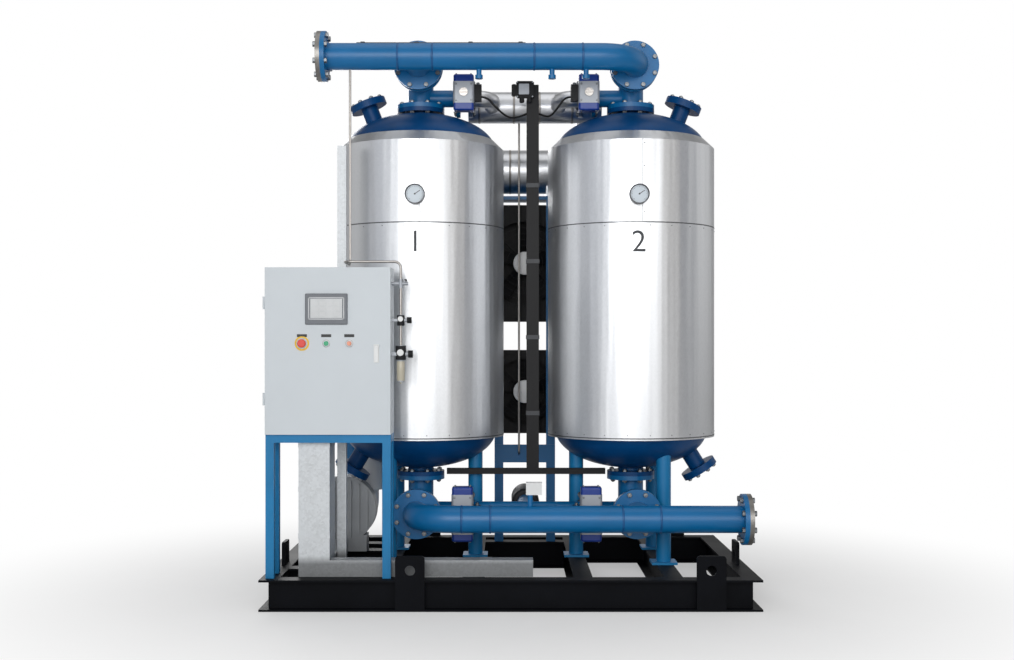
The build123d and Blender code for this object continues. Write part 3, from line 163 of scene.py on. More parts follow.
# Painted shade: the cladding seam bands and lap strips are dark, standing in for the shadow line at the sheet
# overlaps.
seam_painted_shade = surface("seam_painted_shade", (0.12, 0.125, 0.13), rough=0.4, metal=0.6, patch=0.2, grain=400)
jacket = surface("jacket", (0.60, 0.61, 0.63), rough=0.30, metal=1.0, patch=0.08, patch_size=3, grain=200, spangle=45)
# The galvanised trunking carries painted shade below 0.232 m, where its run along the floor lies in shadow.
galvanised = surface("galvanised", (0.50, 0.52, 0.535), rough=0.50, metal=0.5, patch=0.16, grain=240, spangle=90,
                     painted_shade_below=0.232)
bare_steel = surface("bare_steel", (0.26, 0.25, 0.235), rough=0.38, metal=0.9, patch=0.25, patch_size=14, grain=500)
zinc = surface("zinc", (0.20, 0.21, 0.22), rough=0.38, metal=0.9, patch=0.2, patch_size=30, grain=600)
stainless = surface("stainless", (0.36, 0.34, 0.32), rough=0.30, metal=1.0, patch=0.1, patch_size=10, grain=700)
gauge_steel = surface("gauge_steel", (0.055, 0.057, 0.062), rough=0.38, metal=0.6, patch=0.1, patch_size=10, grain=700)
actuator_silver = surface("actuator_silver", (0.36, 0.38, 0.41), rough=0.48, metal=0.4, patch=0.12, grain=420)
cap_blue = surface("cap_blue", (0.002, 0.034, 0.260), rough=0.32, patch=0.12, grain=200)
cabinet_grey = surface("cabinet_grey", (0.62, 0.665, 0.70), rough=0.45, patch=0.04, patch_size=2, grain=650,
                       grain_height=0.0004, specular=0.3)
bezel_dark = surface("bezel_dark", (0.130, 0.142, 0.160), rough=0.42, patch=0.12, grain=500)
red_plastic = surface("red_plastic", (0.68, 0.030, 0.010), rough=0.30, patch=0.08, grain=300)
green_plastic = surface("green_plastic", (0.02, 0.36, 0.16), rough=0.3, patch=0.08, grain=300)
lamp_plastic = surface("lamp_plastic", (0.80, 0.30, 0.18), rough=0.28, patch=0.1, grain=300)
yellow_plastic = surface("yellow_plastic", (0.80, 0.50, 0.02), rough=0.4, patch=0.08, grain=300)
white_plastic = surface("white_plastic", (0.76, 0.77, 0.77), rough=0.4, patch=0.05, grain=400)
screen_glow = surface("screen_glow", (0.50, 0.52, 0.53), rough=0.14, patch=0.10, patch_size=20, grain=900)
screen_field = surface("screen_field", (0.515, 0.53, 0.54), rough=0.2, patch=0.06, patch_size=20, grain=900)
dial_white = surface("dial_white", (0.62, 0.69, 0.75), rough=0.4, patch=0.03, grain=700)
ink_black = surface("ink_black", (0.015, 0.015, 0.016), rough=0.5, patch=0.2, grain=500)
ink_grey = surface("ink_grey", (0.055, 0.058, 0.064), rough=0.5, patch=0.2, grain=500, specular=0.3)
cooler_black = surface("cooler_black", (0.005, 0.005, 0.006), rough=0.45, patch=0.25, grain=180, specular=0.15)
fan_white = surface("fan_white", (0.90, 0.90, 0.90), rough=0.35, patch=0.05, grain=300)
cast_alloy = surface("cast_alloy", (0.36, 0.37, 0.38), rough=0.45, metal=0.6, patch=0.15, grain=160,
                     grain_height=0.0009)
motor_grey = surface("motor_grey", (0.10, 0.105, 0.115), rough=0.5, metal=0.3, patch=0.15, grain=160,
                     grain_height=0.0009)
bowl_beige = surface("bowl_beige", (0.52, 0.48, 0.38), rough=0.3, patch=0.08, grain=300)
module_grey = surface("module_grey", (0.40, 0.42, 0.43), rough=0.5, patch=0.12, grain=400)
wool = surface("wool", (0.60, 0.52, 0.30), rough=0.95, patch=0.3, patch_size=30, grain=700, grain_height=0.002)
beads = surface("beads", (0.86, 0.85, 0.80), rough=0.85, patch=0.1, patch_size=200, grain=250, grain_height=0.002)
weld_blue = surface("weld_blue", (0.002, 0.085, 0.250), rough=0.36, patch=0.3, patch_size=60, grain=120,
                    grain_height=0.001)

finishes = {
    black_paint: ("skid_frame",),
    dome_blue_painted_shade: ("tower_a_vessel", "tower_b_vessel", "port_covers"),
    leg_blue: ("tower_legs", "cabinet_stand"),
    cladding: ("tower_a_cladding", "tower_b_cladding"),
    wool: ("tower_insulation",),
    beads: ("desiccant_beds",),
    pipe_blue: ("top_branches", "bottom_branches", "top_header", "bottom_header", "exhaust_manifold",
                "purge_pipe", "rear_frame"),
    bare_steel: ("counter_flanges",),
    zinc: ("header_bolts",),
    valve_black: ("valve_bodies", "exhaust_silencer"),
    stainless: ("valve_disc_top_a", "valve_disc_bottom_a", "valve_disc_top_b", "valve_disc_bottom_b",
                "check_flap_a", "check_flap_b", "heater_elements", "instrument_tubing"),
    gauge_steel: ("pressure_gauges",),
    actuator_silver: ("actuator_bodies", "blower_rotor", "air_preparation"),
    cap_blue: ("actuator_caps",),
    plastic_black: ("solenoid_valves", "centre_conduit", "ball_valve_lever", "regulator_knob_upper",
                    "regulator_knob_lower"),
    jacket: ("regen_manifold", "heater_vessel"),
    cooler_black: ("cooler_shrouds", "cooler_fan_upper", "cooler_fan_lower"),
    cast_alloy: ("blower_housing",),
    motor_grey: ("blower_motor",),
    white_plastic: ("blower_filter", "dew_point_sensor", "door_lock_plate", "door_lock_lever"),
    cabinet_grey: ("cabinet_box", "cabinet_door"),
    bezel_dark: ("hmi_panel",),
    red_plastic: ("estop_button",),
    green_plastic: ("start_button",),
    lamp_plastic: ("alarm_lamp",),
    module_grey: ("control_modules",),
    galvanised: ("cable_trunking",),
    ink_black: ("gauge_needle_a", "gauge_needle_b"),
}
for material, names in finishes.items():
    for name in names:
        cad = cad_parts[name].data
        cad.materials.clear()
        cad.materials.append(material)


# ---------------------------------------------------------------- mesh helpers
def piece(name, mesh, material, body, smooth=True):
    """Puts a finished mesh into the scene, riding on a CAD body."""
    data = bpy.data.meshes.new(name)
    mesh.to_mesh(data)
    mesh.free()
    data.materials.append(material)
    if smooth:
        data.shade_smooth()
        data.set_sharp_from_angle(angle=math.radians(40))
    made = bpy.data.objects.new(name, data)
    bpy.context.scene.collection.objects.link(made)
    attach(made, body)
    return made


def facing(direction):
    """Turns +Z to the given direction."""
    return Vector((0, 0, 1)).rotation_difference(Vector(direction)).to_matrix().to_4x4()


def add_lathe(mesh, profile, centre, direction=(0, 0, 1), steps=48):
    """Spins (radius, height) points round an axis through centre."""
    place = Matrix.Translation(centre) @ facing(direction)
    rings = []
    for step in range(steps):
        angle = 2 * math.pi * step / steps
        rings.append([
            mesh.verts.new(place @ Vector((r * math.cos(angle), r * math.sin(angle), h))) for r, h in profile
        ])
    for near, far in zip(rings, rings[1:] + rings[:1]):
        for index in range(len(profile) - 1):
            corners = (near[index], far[index], far[index + 1], near[index + 1])
            if profile[index][0] == 0:
                corners = (near[index], far[index + 1], near[index + 1])
            if profile[index + 1][0] == 0:
                corners = (near[index], far[index], near[index + 1])
            mesh.faces.new(corners)
    bmesh.ops.remove_doubles(mesh, verts=[v for ring in rings for v in ring], dist=1e-6)


def bead(radius, width, height):
    """Profile of a rounded band standing proud of a pipe of that radius."""
    return [
        (radius - 0.0005, -width / 2),
        (radius + height * 0.7, -width * 0.3),
        (radius + height, 0),
        (radius + height * 0.7, width * 0.3),
        (radius - 0.0005, width / 2),
    ]


def add_plate(mesh, low, high, edge=0.0008):
    """A thin plate or strip with eased edges."""
    size = [b - a for a, b in zip(low, high)]
    centre = [(a + b) / 2 for a, b in zip(low, high)]
    made = bmesh.ops.create_cube(mesh, size=1, matrix=Matrix.Translation(centre) @ Matrix.Diagonal((*size, 1)))
    edges = {e for v in made["verts"] for e in v.link_edges}
    bmesh.ops.bevel(mesh, geom=list(edges), offset=min(edge, min(size) * 0.4), segments=2, affect="EDGES")


def add_hex(mesh, centre, direction, across, thick):
    """A bolt head with a chamfered top and a stub of thread."""
    r = across / math.sqrt(3)
    add_lathe(mesh, [(r, 0), (r, thick * 0.85), (r * 0.86, thick), (0, thick)], centre, direction, steps=6)
    add_lathe(mesh, [(r * 0.5, thick * 0.9), (r * 0.5, thick * 1.3), (0, thick * 1.35)], centre, direction, steps=10)


def add_rivet(mesh, centre, direction, r=0.004):
    add_lathe(mesh, [(r, 0), (r * 0.8, r * 0.5), (r * 0.35, r * 0.7), (0, r * 0.75)], centre, direction, steps=8)


def on_tower(x, angle, z, radius=clad_r):
    """A point on a tower's cladding; angle 0 faces the front, positive to the right."""
    return Vector((x + radius * math.sin(angle), -radius * math.cos(angle), z))


# ---------------------------------------------------------------- towers
for number, x in zip("12", tower_x):
    # Seam bands and lap strips, coloured dark as painted shade of the sheet overlaps.
    trim = bmesh.new()
    for z in (seam_z, clad_low[2] + 0.010):
        add_lathe(trim, bead(clad_r, 0.0065, 0.0016), (x, 0, z), steps=96)
    for angle, z_low, z_high in ((0.045, seam_z, shoulder_z), (math.pi, clad_low[2], shoulder_z)):
        foot = on_tower(x, angle, z_low + 0.004)
        head = on_tower(x, angle, z_high)
        add_plate(trim, (foot.x - 0.0016, foot.y - 0.0010, foot.z), (head.x + 0.0016, head.y + 0.0010, head.z), 0.0003)
    piece(f"cladding_seams_{number}", trim, seam_painted_shade, "base")

    rivets = bmesh.new()
    for angle, z_low, z_high in ((0.065, seam_z, shoulder_z), (math.pi + 0.02, clad_low[2], shoulder_z)):
        rise = z_low + 0.05
        while rise < z_high - 0.02:
            add_rivet(rivets, on_tower(x, angle, rise), (math.sin(angle), -math.cos(angle), 0), 0.0035)
            rise += 0.115
    for z in (seam_z - 0.016, clad_low[2] + 0.026):
        for step in range(24):
            angle = 2 * math.pi * (step + 0.5) / 24
            add_rivet(rivets, on_tower(x, angle, z), (math.sin(angle), -math.cos(angle), 0), 0.0030)
    piece(f"cladding_rivets_{number}", rivets, zinc, "base")

    letters = bpy.data.curves.new(f"numeral_curve_{number}", "FONT")
    letters.body = number
    letters.size = 0.155
    letters.offset = -0.0006
    letters.align_x = "CENTER"
    letters.extrude = 0.0002
    holder = bpy.data.objects.new("numeral_holder", letters)
    flat = bmesh.new()
    flat.from_mesh(bpy.data.meshes.new_from_object(holder))
    bpy.data.objects.remove(holder)
    bmesh.ops.subdivide_edges(flat, edges=[e for e in flat.edges if e.calc_length() > 0.02], cuts=3)
    for vertex in flat.verts:
        across, up, out = vertex.co
        vertex.co = on_tower(x, across / clad_r, 1.735 + up, clad_r + 0.0009 + out)
    piece(f"numeral_{number}", flat, ink_grey, "base", smooth=False)


# ---------------------------------------------------------------- pipework
welds = bmesh.new()
for x in (-0.562, -0.39, 0.118, 0.36):
    add_lathe(welds, bead(pipe_r, 0.012, 0.003), (x, top_y, top_z), (1, 0, 0))
for x in (0.548, 0.732, -0.10, -0.24):
    add_lathe(welds, bead(pipe_r, 0.012, 0.003), (x, low_y, low_z), (1, 0, 0))
for x in tower_x:
    for z in (2.512 - 0.028, 2.548, 0.596 + 0.016, 0.556):
        add_lathe(welds, bead(pipe_r, 0.010, 0.003), (x, 0, z))
piece("weld_beads", welds, weld_blue, "base")

# Each flange pair: centre of its joint face, its axis, bolt circle, bolt count and grip
flange_pairs = []
for x, outward in zip(tower_x, (-1, 1)):
    for z in (2.520, 0.582):
        flange_pairs.append(((x, 0, z), (0, 0, 1), 0.105, 8, 0.022))
    flange_pairs.append(((x, -0.198, top_z), (0, 1, 0), 0.110, 8, 0.042))
    flange_pairs.append(((x, -0.348, low_z), (0, 1, 0), 0.105, 8, 0.022))
    for y, z in ((0, 2.580), (-0.190, low_z)):
        flange_pairs.append(((x - outward * 0.233, y, z), (1, 0, 0), 0.083, 8, 0.043))
bolts = bmesh.new()
for centre, axis, circle, count, grip in flange_pairs:
    turn = facing(axis).to_3x3()
    for index in range(count):
        angle = 2 * math.pi * (index + 0.5) / count
        reach = turn @ Vector((circle * math.cos(angle), circle * math.sin(angle), 0))
        for way in (1, -1):
            heading = Vector(axis) * way
            add_hex(bolts, Vector(centre) + reach + heading * grip, heading, 0.022, 0.011)
piece("flange_bolts", bolts, zinc, "base")

port_bolts = bmesh.new()
for letter, x, outward in zip("ab", tower_x, (-1, 1)):
    for offset, tangent, way, rise_sign in ((0.245, 2.295, 1, 1), (0.313, 0.820, -1, -1)):
        rise = 0.2 * math.sqrt(1 - (offset / 0.4) ** 2)
        normal = Vector((outward * offset / 0.16, 0, way * rise / 0.04)).normalized()
        start = Vector((x + outward * offset, 0, tangent + way * rise)) + normal * (0.095 + 0.018)
        turn = facing(normal).to_3x3()
        for index in range(8):
            angle = 2 * math.pi * (index + 0.5) / 8
            reach = turn @ Vector((0.079 * math.cos(angle), 0.079 * math.sin(angle), 0))
            add_hex(port_bolts, start + reach, normal, 0.020, 0.010)
piece("port_bolts", port_bolts, zinc, "base")

bands = bmesh.new()
low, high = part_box("regen_manifold")
for x in (-0.17, 0.02, 0.16, 0.34, 0.46):
    add_lathe(bands, bead(0.085, 0.014, 0.002), (x, 0.260, 2.580), (1, 0, 0))
for x in (-0.20, 0.0, 0.25, 0.45):
    add_lathe(bands, bead(0.125, 0.014, 0.002), (x, 0.600, 2.270), (1, 0, 0))
piece("jacket_bands", bands, stainless, "base")


# ---------------------------------------------------------------- valves
fittings = bmesh.new()
dials = bmesh.new()
for tower, x, outward in zip("ab", tower_x, (-1, 1)):
    for y, z, height in ((0, 2.580, 0.112), (-0.190, low_z, 0.200)):
        centre_x = x - outward * 0.233
        front = y - 0.111 - 0.086
        for side in (-1, 1):
            for rise in (-height / 2 + 0.014, height / 2 - 0.014):
                add_hex(fittings, (centre_x + side * 0.040, front, z + rise), (0, -1, 0), 0.010, 0.006)
            add_hex(fittings, (centre_x + side * 0.018, y - 0.103, z + 0.026), (0, 1, 0), 0.011, 0.006)
        for way in (-1, 1):
            end = z + way * (height / 2 + 0.038)
            for side_x in (-0.038, 0.038):
                for side_y in (-0.026, 0.026):
                    add_hex(fittings, (centre_x + side_x, y - 0.154 + side_y, end), (0, 0, way), 0.008, 0.004)
        pilot_x = centre_x - outward * (0.055 + 0.019)
        add_lathe(fittings, [(0.009, 0), (0.009, 0.012), (0.006, 0.014), (0, 0.014)],
                  (pilot_x, y - 0.154, z + 0.042), (0, 0, 1), steps=16)
piece("actuator_screws", fittings, zinc, "base")


hoses = (
    ("pilot_cable_left", 0.276, [(-0.150, -0.154, 2.560), (-0.120, -0.154, 2.560), (-0.080, -0.150, 2.510),
                                 (-0.010, -0.120, 2.455), (0.045, -0.075, 2.470), (0.085, -0.0583, 2.490)]),
    ("pilot_cable_right", 0.235, [(0.314, -0.154, 2.560), (0.284, -0.154, 2.560), (0.250, -0.145, 2.510),
                                  (0.210, -0.115, 2.465), (0.175, -0.080, 2.475), (0.150, -0.0583, 2.490)]),
)
for name, length, route in hoses:
    path = bpy.data.curves.new(name, "CURVE")
    path.dimensions = "3D"
    path.bevel_depth = 0.0055
    path.bevel_resolution = 4
    path.resolution_u = 16
    line = path.splines.new("NURBS")
    line.points.add(len(route) - 1)
    for point, place in zip(line.points, route):
        point.co = (*place, 1)
    line.order_u = 3
    line.use_endpoint_u = True
    path.materials.append(plastic_black)
    cable = bpy.data.objects.new(name, path)
    bpy.context.scene.collection.objects.link(cable)
    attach(cable, "base")


junction = bmesh.new()
add_plate(junction, (0.086, -0.0800, 2.520), (0.149, -0.0790, 2.640), 0.0004)
add_plate(junction, (0.030, -0.1040, 2.566), (0.124, -0.0790, 2.656), 0.006)
add_plate(junction, (0.006, -0.1000, 2.580), (0.032, -0.0600, 2.640), 0.004)
add_lathe(junction, [(0.013, 0), (0.013, 0.020), (0.009, 0.024), (0, 0.024)], (0.100, -0.092, 2.566), (0, 0, -1), 16)
add_lathe(junction, [(0.013, 0), (0.013, 0.020), (0.009, 0.024), (0, 0.024)], (0.060, -0.092, 2.566), (0, 0, -1), 16)
piece("junction_box", junction, plastic_black, "base")
lid = bmesh.new()
add_plate(lid, (0.044, -0.1085, 2.584), (0.098, -0.1038, 2.640), 0.003)
for screw_x in (0.036, 0.116):
    for screw_z in (2.573, 2.649):
        add_hex(lid, (screw_x, -0.1040, screw_z), (0, -1, 0), 0.007, 0.004)
piece("junction_lid", lid, actuator_silver, "base")

# A small tube that lies along the top header
rider = bmesh.new()
add_lathe(rider, [(0.0045, 0), (0.0045, 0.845), (0.003, 0.847), (0, 0.847)], (-0.772, -0.418, 2.7800), (1, 0, 0), 12)
for x in (-0.74, -0.47, -0.20, 0.05):
    add_plate(rider, (x - 0.011, -0.430, 2.7752), (x + 0.011, -0.408, 2.7860), 0.0015)
piece("header_tube", rider, ink_grey, "base")


# ---------------------------------------------------------------- cabinet
door_low, door_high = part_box("cabinet_door")
door_y = -0.720
hmi_low, hmi_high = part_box("hmi_panel")
screen = bmesh.new()
width, height = hmi_high[0] - hmi_low[0], hmi_high[2] - hmi_low[2]
centre_x = (hmi_low[0] + hmi_high[0]) / 2
middle_z = (hmi_low[2] + hmi_high[2]) / 2
add_plate(screen, (centre_x - width * 0.375, hmi_low[1] + 0.0012, middle_z - height * 0.29),
          (centre_x + width * 0.375, hmi_low[1] + 0.0022, middle_z + height * 0.33))
piece("hmi_screen", screen, screen_glow, "door")
surround = bmesh.new()
frame_x, frame_low, frame_high = width * 0.425, middle_z - height * 0.34, middle_z + height * 0.38
for low, high in (
    ((centre_x - frame_x, frame_low), (centre_x - frame_x + 0.005, frame_high)),
    ((centre_x + frame_x - 0.005, frame_low), (centre_x + frame_x, frame_high)),
    ((centre_x - frame_x, frame_low), (centre_x + frame_x, frame_low + 0.005)),
    ((centre_x - frame_x, frame_high - 0.005), (centre_x + frame_x, frame_high)),
):
    add_plate(surround, (low[0], hmi_low[1] - 0.0006, low[1]), (high[0], hmi_low[1] + 0.0016, high[1]), 0.0005)
piece("hmi_surround", surround, cast_alloy, "door")

soft_keys = bmesh.new()
for column in range(4):
    for row in range(3):
        left = centre_x - width * 0.33 + column * width * 0.17
        foot = middle_z - height * 0.22 + row * height * 0.17
        add_plate(soft_keys, (left, hmi_low[1] + 0.0006, foot),
                  (left + width * 0.14, hmi_low[1] + 0.0013, foot + height * 0.12), 0.0004)
piece("hmi_fields", soft_keys, screen_field, "door")

button_z = 1.276
legends = bmesh.new()
for x in (-0.997, -0.881, -0.771):
    add_plate(legends, (x - 0.024, door_y - 0.0012, button_z + 0.030), (x + 0.024, door_y + 0.0002, button_z + 0.044))
piece("legend_strips", legends, ink_black, "door")
collar = bmesh.new()
add_lathe(collar, [(0.0265, 0), (0.0265, 0.0012), (0.034, 0.0012), (0.035, 0.0006), (0.035, 0), (0.0265, 0)],
          (-0.997, door_y, button_z), (0, -1, 0))
piece("emergency_stop_collar", collar, yellow_plastic, "door")
rims = bmesh.new()
for x, r in ((-0.881, 0.0162), (-0.771, 0.0162)):
    add_lathe(rims, [(r, 0), (r, 0.0034), (r + 0.0015, 0.003), (r + 0.002, 0), (r, 0)],
              (x, door_y, button_z), (0, -1, 0))
piece("button_rims", rims, stainless, "door")

gasket = bmesh.new()
for low, high in (
    ((-1.171, -0.7035, 0.846), (-1.165, -0.7012, 1.634)),
    ((-0.585, -0.7035, 0.846), (-0.579, -0.7012, 1.634)),
):
    add_plate(gasket, low, high)
piece("door_gasket", gasket, plastic_black, "door")


# ---------------------------------------------------------------- air preparation
air_x, air_y = -0.530, -0.660
bodies = bmesh.new()
for z, r, drop, rise in ((1.388, 0.0172, 0.0262, 0.0262), (1.225, 0.0242, 0.0282, 0.0422)):
    add_lathe(bodies, [(r, -drop), (r + 0.0012, -drop + 0.003), (r + 0.0012, -0.004), (r + 0.0022, -0.002),
                       (r + 0.0022, 0.010), (r + 0.0012, 0.012), (r + 0.0012, rise - 0.004), (r - 0.002, rise),
                       (0.007, rise + 0.0004), (0.007, -drop), (r, -drop)], (air_x, air_y, z), steps=32)
piece("regulator_bodies", bodies, valve_black, "base")
bowl = bmesh.new()
add_lathe(bowl, [(0.0182, 0.100), (0.0195, 0.096), (0.0195, 0.010), (0.0150, 0.002), (0.004, -0.001), (0.004, -0.008),
                 (0, -0.008)], (air_x, air_y, 1.0900), steps=32)
piece("filter_bowl", bowl, bowl_beige, "base")
dials = bmesh.new()
for z, r, reach in ((1.394, 0.013, 0.0205), (1.232, 0.016, 0.0275)):
    add_lathe(dials, [(r, 0), (r, 0.006), (r * 0.86, 0.0066), (r * 0.86, 0.0055), (0, 0.0055)],
              (air_x, air_y - reach + 0.002, z), (0, -1, 0), steps=28)
piece("regulator_dials", dials, white_plastic, "base")


# ---------------------------------------------------------------- cable ways
joints = bmesh.new()
trunk_low, trunk_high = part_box("cable_trunking")
for z in (0.335, 0.56, 0.775):
    add_plate(joints, (-1.0255, -0.6565, z), (-0.8725, -0.4585, z + 0.025))
for x in (-0.55, -0.15):
    add_plate(joints, (x, -0.6565, 0.1505), (x + 0.06, -0.5635, 0.2315))
piece("trunking_joints", joints, galvanised, "base")
clips = bmesh.new()
for z in (0.9, 1.3, 1.7, 2.1):
    add_plate(clips, (0.082, -0.0800, z), (0.153, -0.0370, z + 0.022))
piece("conduit_clips", clips, ink_grey, "base")


# ---------------------------------------------------------------- coolers
cooler_x, cooler_y = 0.084, 0.545
for level, z, radius in (("upper", 1.7395, 0.240), ("lower", 1.003, 0.190)):
    guard = bmesh.new()
    for ring_r in [radius * step / 7 for step in range(2, 8)]:
        add_lathe(guard, [(ring_r - 0.0016, -0.0016), (ring_r + 0.0016, -0.0016), (ring_r + 0.0016, 0.0016),
                          (ring_r - 0.0016, 0.0016), (ring_r - 0.0016, -0.0016)],
                  (cooler_x, cooler_y - 0.006, z), (0, 1, 0), steps=64)
    for spoke in range(8):
        angle = math.pi * spoke / 4
        heading = Vector((math.cos(angle), 0, math.sin(angle)))
        start = Vector((cooler_x, cooler_y - 0.003, z)) + heading * radius * 0.27
        add_lathe(guard, [(0.002, 0), (0.002, radius * 0.76)], start, heading, steps=8)
    piece(f"fan_guard_{level}", guard, cooler_black, "base")
    hub = bmesh.new()
    add_lathe(hub, [(0.066, 0), (0.064, 0.004), (0.040, 0.008), (0, 0.009)], (cooler_x, cooler_y - 0.008, z), (0, -1, 0))
    piece(f"fan_badge_{level}", hub, fan_white, "base")


# ---------------------------------------------------------------- gauges
for letter, x in zip("ab", tower_x):
    dial_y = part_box("pressure_gauges")[0][1] + 0.012
    face = bmesh.new()
    add_lathe(face, [(0.0440, 0), (0.0440, 0.0006), (0.0030, 0.0006)], (x, dial_y, 2.020), (0, -1, 0))
    piece(f"gauge_dial_{letter}", face, dial_white, "base")
    ticks = bmesh.new()
    for step in range(31):
        angle = math.radians(-135 + 9 * step)
        heading = Vector((math.sin(angle), 0, math.cos(angle)))
        length = 0.007 if step % 5 == 0 else 0.004
        start = Vector((x, dial_y - 0.0008, 2.020)) + heading * (0.041 - length)
        add_lathe(ticks, [(0.0006, 0), (0.0006, length)], start, heading, steps=4)
    piece(f"gauge_ticks_{letter}", ticks, ink_black, "base", smooth=False)


# ---------------------------------------------------------------- stage, light, camera
def floor_paint():
    """Pale paint near the object, which turns to plain white towards the horizon."""
    material = bpy.data.materials.new("floor_paint")
    material.use_nodes = True
    tree = material.node_tree
    shader = tree.nodes["Principled BSDF"]
    shader.inputs["Roughness"].default_value = 0.9
    place = tree.nodes.new("ShaderNodeTexCoord").outputs["Object"]
    noise = node(tree, "ShaderNodeTexNoise", Scale=3.0, Detail=2.0)
    tree.links.new(place, noise.inputs["Vector"])
    tint = ramp(tree, noise.outputs["Fac"], ((0.3, (0.80, 0.80, 0.80)), (0.7, (0.82, 0.82, 0.82))))
    tree.links.new(tint, shader.inputs["Base Color"])
    distance = node(tree, "ShaderNodeVectorMath", operation="LENGTH")
    tree.links.new(place, distance.inputs[0])
    fade = node(tree, "ShaderNodeMapRange", interpolation_type="SMOOTHSTEP")
    fade.inputs["From Min"].default_value = 1.0
    fade.inputs["From Max"].default_value = 3.4
    fade.inputs["To Min"].default_value = 0.35
    tree.links.new(distance.outputs["Value"], fade.inputs["Value"])
    path = tree.nodes.new("ShaderNodeLightPath")
    share = node(tree, "ShaderNodeMath", operation="MULTIPLY")
    tree.links.new(path.outputs["Is Camera Ray"], share.inputs[0])
    tree.links.new(fade.outputs["Result"], share.inputs[1])
    white = tree.nodes.new("ShaderNodeEmission")
    mixed = tree.nodes.new("ShaderNodeMixShader")
    tree.links.new(share.outputs[0], mixed.inputs["Fac"])
    tree.links.new(shader.outputs["BSDF"], mixed.inputs[1])
    tree.links.new(white.outputs["Emission"], mixed.inputs[2])
    tree.links.new(mixed.outputs["Shader"], tree.nodes["Material Output"].inputs["Surface"])
    return material


floor_mesh = bmesh.new()
bmesh.ops.create_grid(floor_mesh, x_segments=2, y_segments=2, size=40)
floor_data = bpy.data.meshes.new("floor")
floor_mesh.to_mesh(floor_data)
floor_mesh.free()
floor_data.materials.append(floor_paint())
floor = bpy.data.objects.new("floor", floor_data)
bpy.context.scene.collection.objects.link(floor)

world = bpy.data.worlds.new("studio")
bpy.context.scene.world = world
world.use_nodes = True
tree = world.node_tree
background = tree.nodes["Background"]
background.inputs["Color"].default_value = (1, 1, 1, 1)
path = tree.nodes.new("ShaderNodeLightPath")
seen = node(tree, "ShaderNodeMath", operation="MAXIMUM")
tree.links.new(path.outputs["Is Camera Ray"], seen.inputs[0])
tree.links.new(path.outputs["Is Transmission Ray"], seen.inputs[1])
# Metal shows a studio that is bright in front with darker gaps between its panels
heading = tree.nodes.new("ShaderNodeSeparateXYZ")
tree.links.new(tree.nodes.new("ShaderNodeTexCoord").outputs["Generated"], heading.inputs[0])
backward = node(tree, "ShaderNodeMath", operation="MULTIPLY")
backward.inputs[1].default_value = -1
tree.links.new(heading.outputs["Y"], backward.inputs[0])
bearing = node(tree, "ShaderNodeMath", operation="ARCTAN2")
tree.links.new(heading.outputs["X"], bearing.inputs[0])
tree.links.new(backward.outputs[0], bearing.inputs[1])
around = node(tree, "ShaderNodeMapRange")
around.inputs["From Min"].default_value = -math.pi
around.inputs["From Max"].default_value = math.pi
tree.links.new(bearing.outputs[0], around.inputs["Value"])
panels = ((-180, 0.75), (-155, 0.65), (-142, 0.16), (-126, 0.30), (-108, 0.85), (-82, 0.80), (-64, 0.70), (-38, 1.0),
          (0, 1.0), (35, 0.98), (54, 0.90), (64, 0.32), (76, 0.26), (86, 0.80), (108, 1.0), (124, 0.90), (140, 0.16),
          (156, 0.60), (180, 0.75))
tints = {54: (1.0, 0.93, 0.84), 64: (0.95, 0.98, 1.10), 76: (0.90, 0.98, 1.20), -64: (0.94, 0.98, 1.08), -38: (0.96, 0.99, 1.04)}
stops = [((a + 180) / 360, tuple(b * t for t in tints.get(a, (1, 1, 1)))) for a, b in panels]
panel_light = ramp(tree, around.outputs["Result"], stops)
coloured = node(tree, "ShaderNodeMix", data_type="RGBA")
coloured.inputs["A"].default_value = (1, 1, 1, 1)
tree.links.new(path.outputs["Is Glossy Ray"], coloured.inputs["Factor"])
tree.links.new(panel_light, coloured.inputs["B"])
ceiling = node(tree, "ShaderNodeMapRange")
ceiling.inputs["From Min"].default_value = 0.25
ceiling.inputs["From Max"].default_value = 0.95
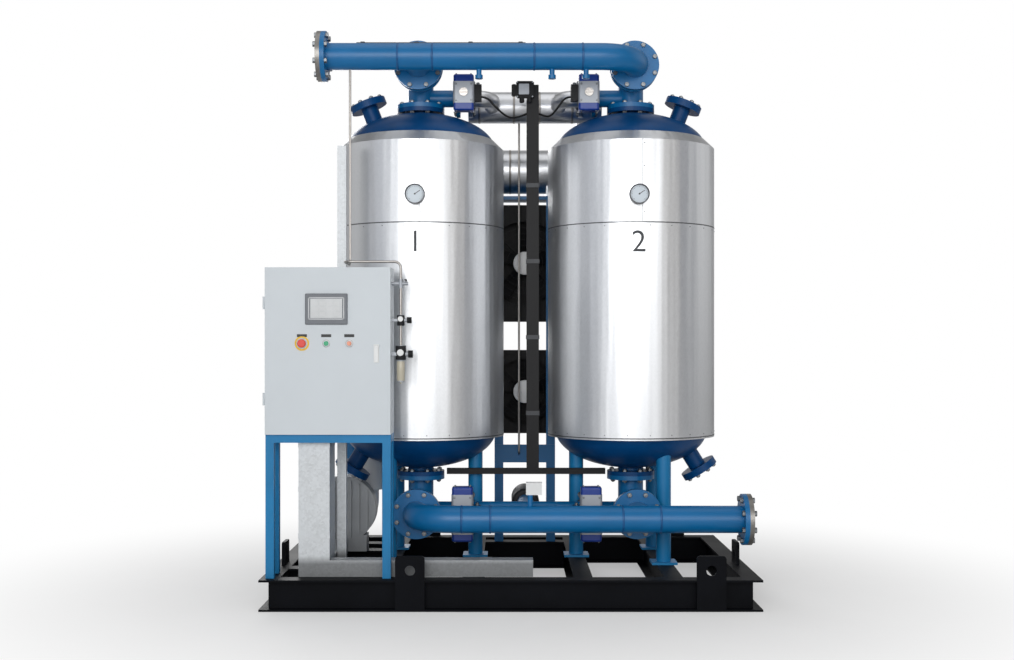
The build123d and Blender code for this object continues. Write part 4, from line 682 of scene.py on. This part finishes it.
ceiling.inputs["To Min"].default_value = 1.0
ceiling.inputs["To Max"].default_value = 0.35
tree.links.new(heading.outputs["Z"], ceiling.inputs["Value"])
soft = node(tree, "ShaderNodeMix")
soft.inputs["A"].default_value = 0.29
tree.links.new(path.outputs["Is Glossy Ray"], soft.inputs["Factor"])
tree.links.new(ceiling.outputs["Result"], soft.inputs["B"])
level = node(tree, "ShaderNodeMix")
level.inputs["B"].default_value = 1.0
tree.links.new(seen.outputs[0], level.inputs["Factor"])
tree.links.new(soft.outputs["Result"], level.inputs["A"])
tree.links.new(level.outputs["Result"], background.inputs["Strength"])
plain = node(tree, "ShaderNodeMix", data_type="RGBA")
tree.links.new(seen.outputs[0], plain.inputs["Factor"])
tree.links.new(coloured.outputs["Result"], plain.inputs["A"])
plain.inputs["B"].default_value = (1, 1, 1, 1)
tree.links.new(plain.outputs["Result"], background.inputs["Color"])


def lamp(name, place, target, size, power):
    light = bpy.data.lights.new(name, "AREA")
    light.shape = "RECTANGLE"
    light.size, light.size_y = size
    light.energy = power
    made = bpy.data.objects.new(name, light)
    made.location = place
    made.rotation_euler = (Vector(target) - Vector(place)).to_track_quat("-Z", "Y").to_euler()
    bpy.context.scene.collection.objects.link(made)


lamp("key", (-1.1, -8.4, 3.0), (0, 0, 1.3), (5.4, 4.0), 285)
lamp("fill", (3.6, -7.4, 2.4), (0, 0, 1.2), (4.0, 3.6), 70)
lamp("top", (0, -0.5, 6.5), (0, 0, 0), (5.0, 4.0), 60)
lamp("rear", (-2.5, 6.5, 3.5), (0, 0, 1.4), (3.0, 3.0), 160)

lens = bpy.data.cameras.new("camera")
lens.sensor_width = 36
lens.lens = 1305 / 1014 * lens.sensor_width
lens.shift_y = (347 - 330) / 1014
eye = bpy.data.objects.new("camera", lens)
eye.location = (-0.018, -6.950, 1.259)
eye.rotation_euler = (math.radians(90), 0, 0)
bpy.context.scene.collection.objects.link(eye)
bpy.context.scene.camera = eye
bpy.context.scene.view_settings.view_transform = "Standard"
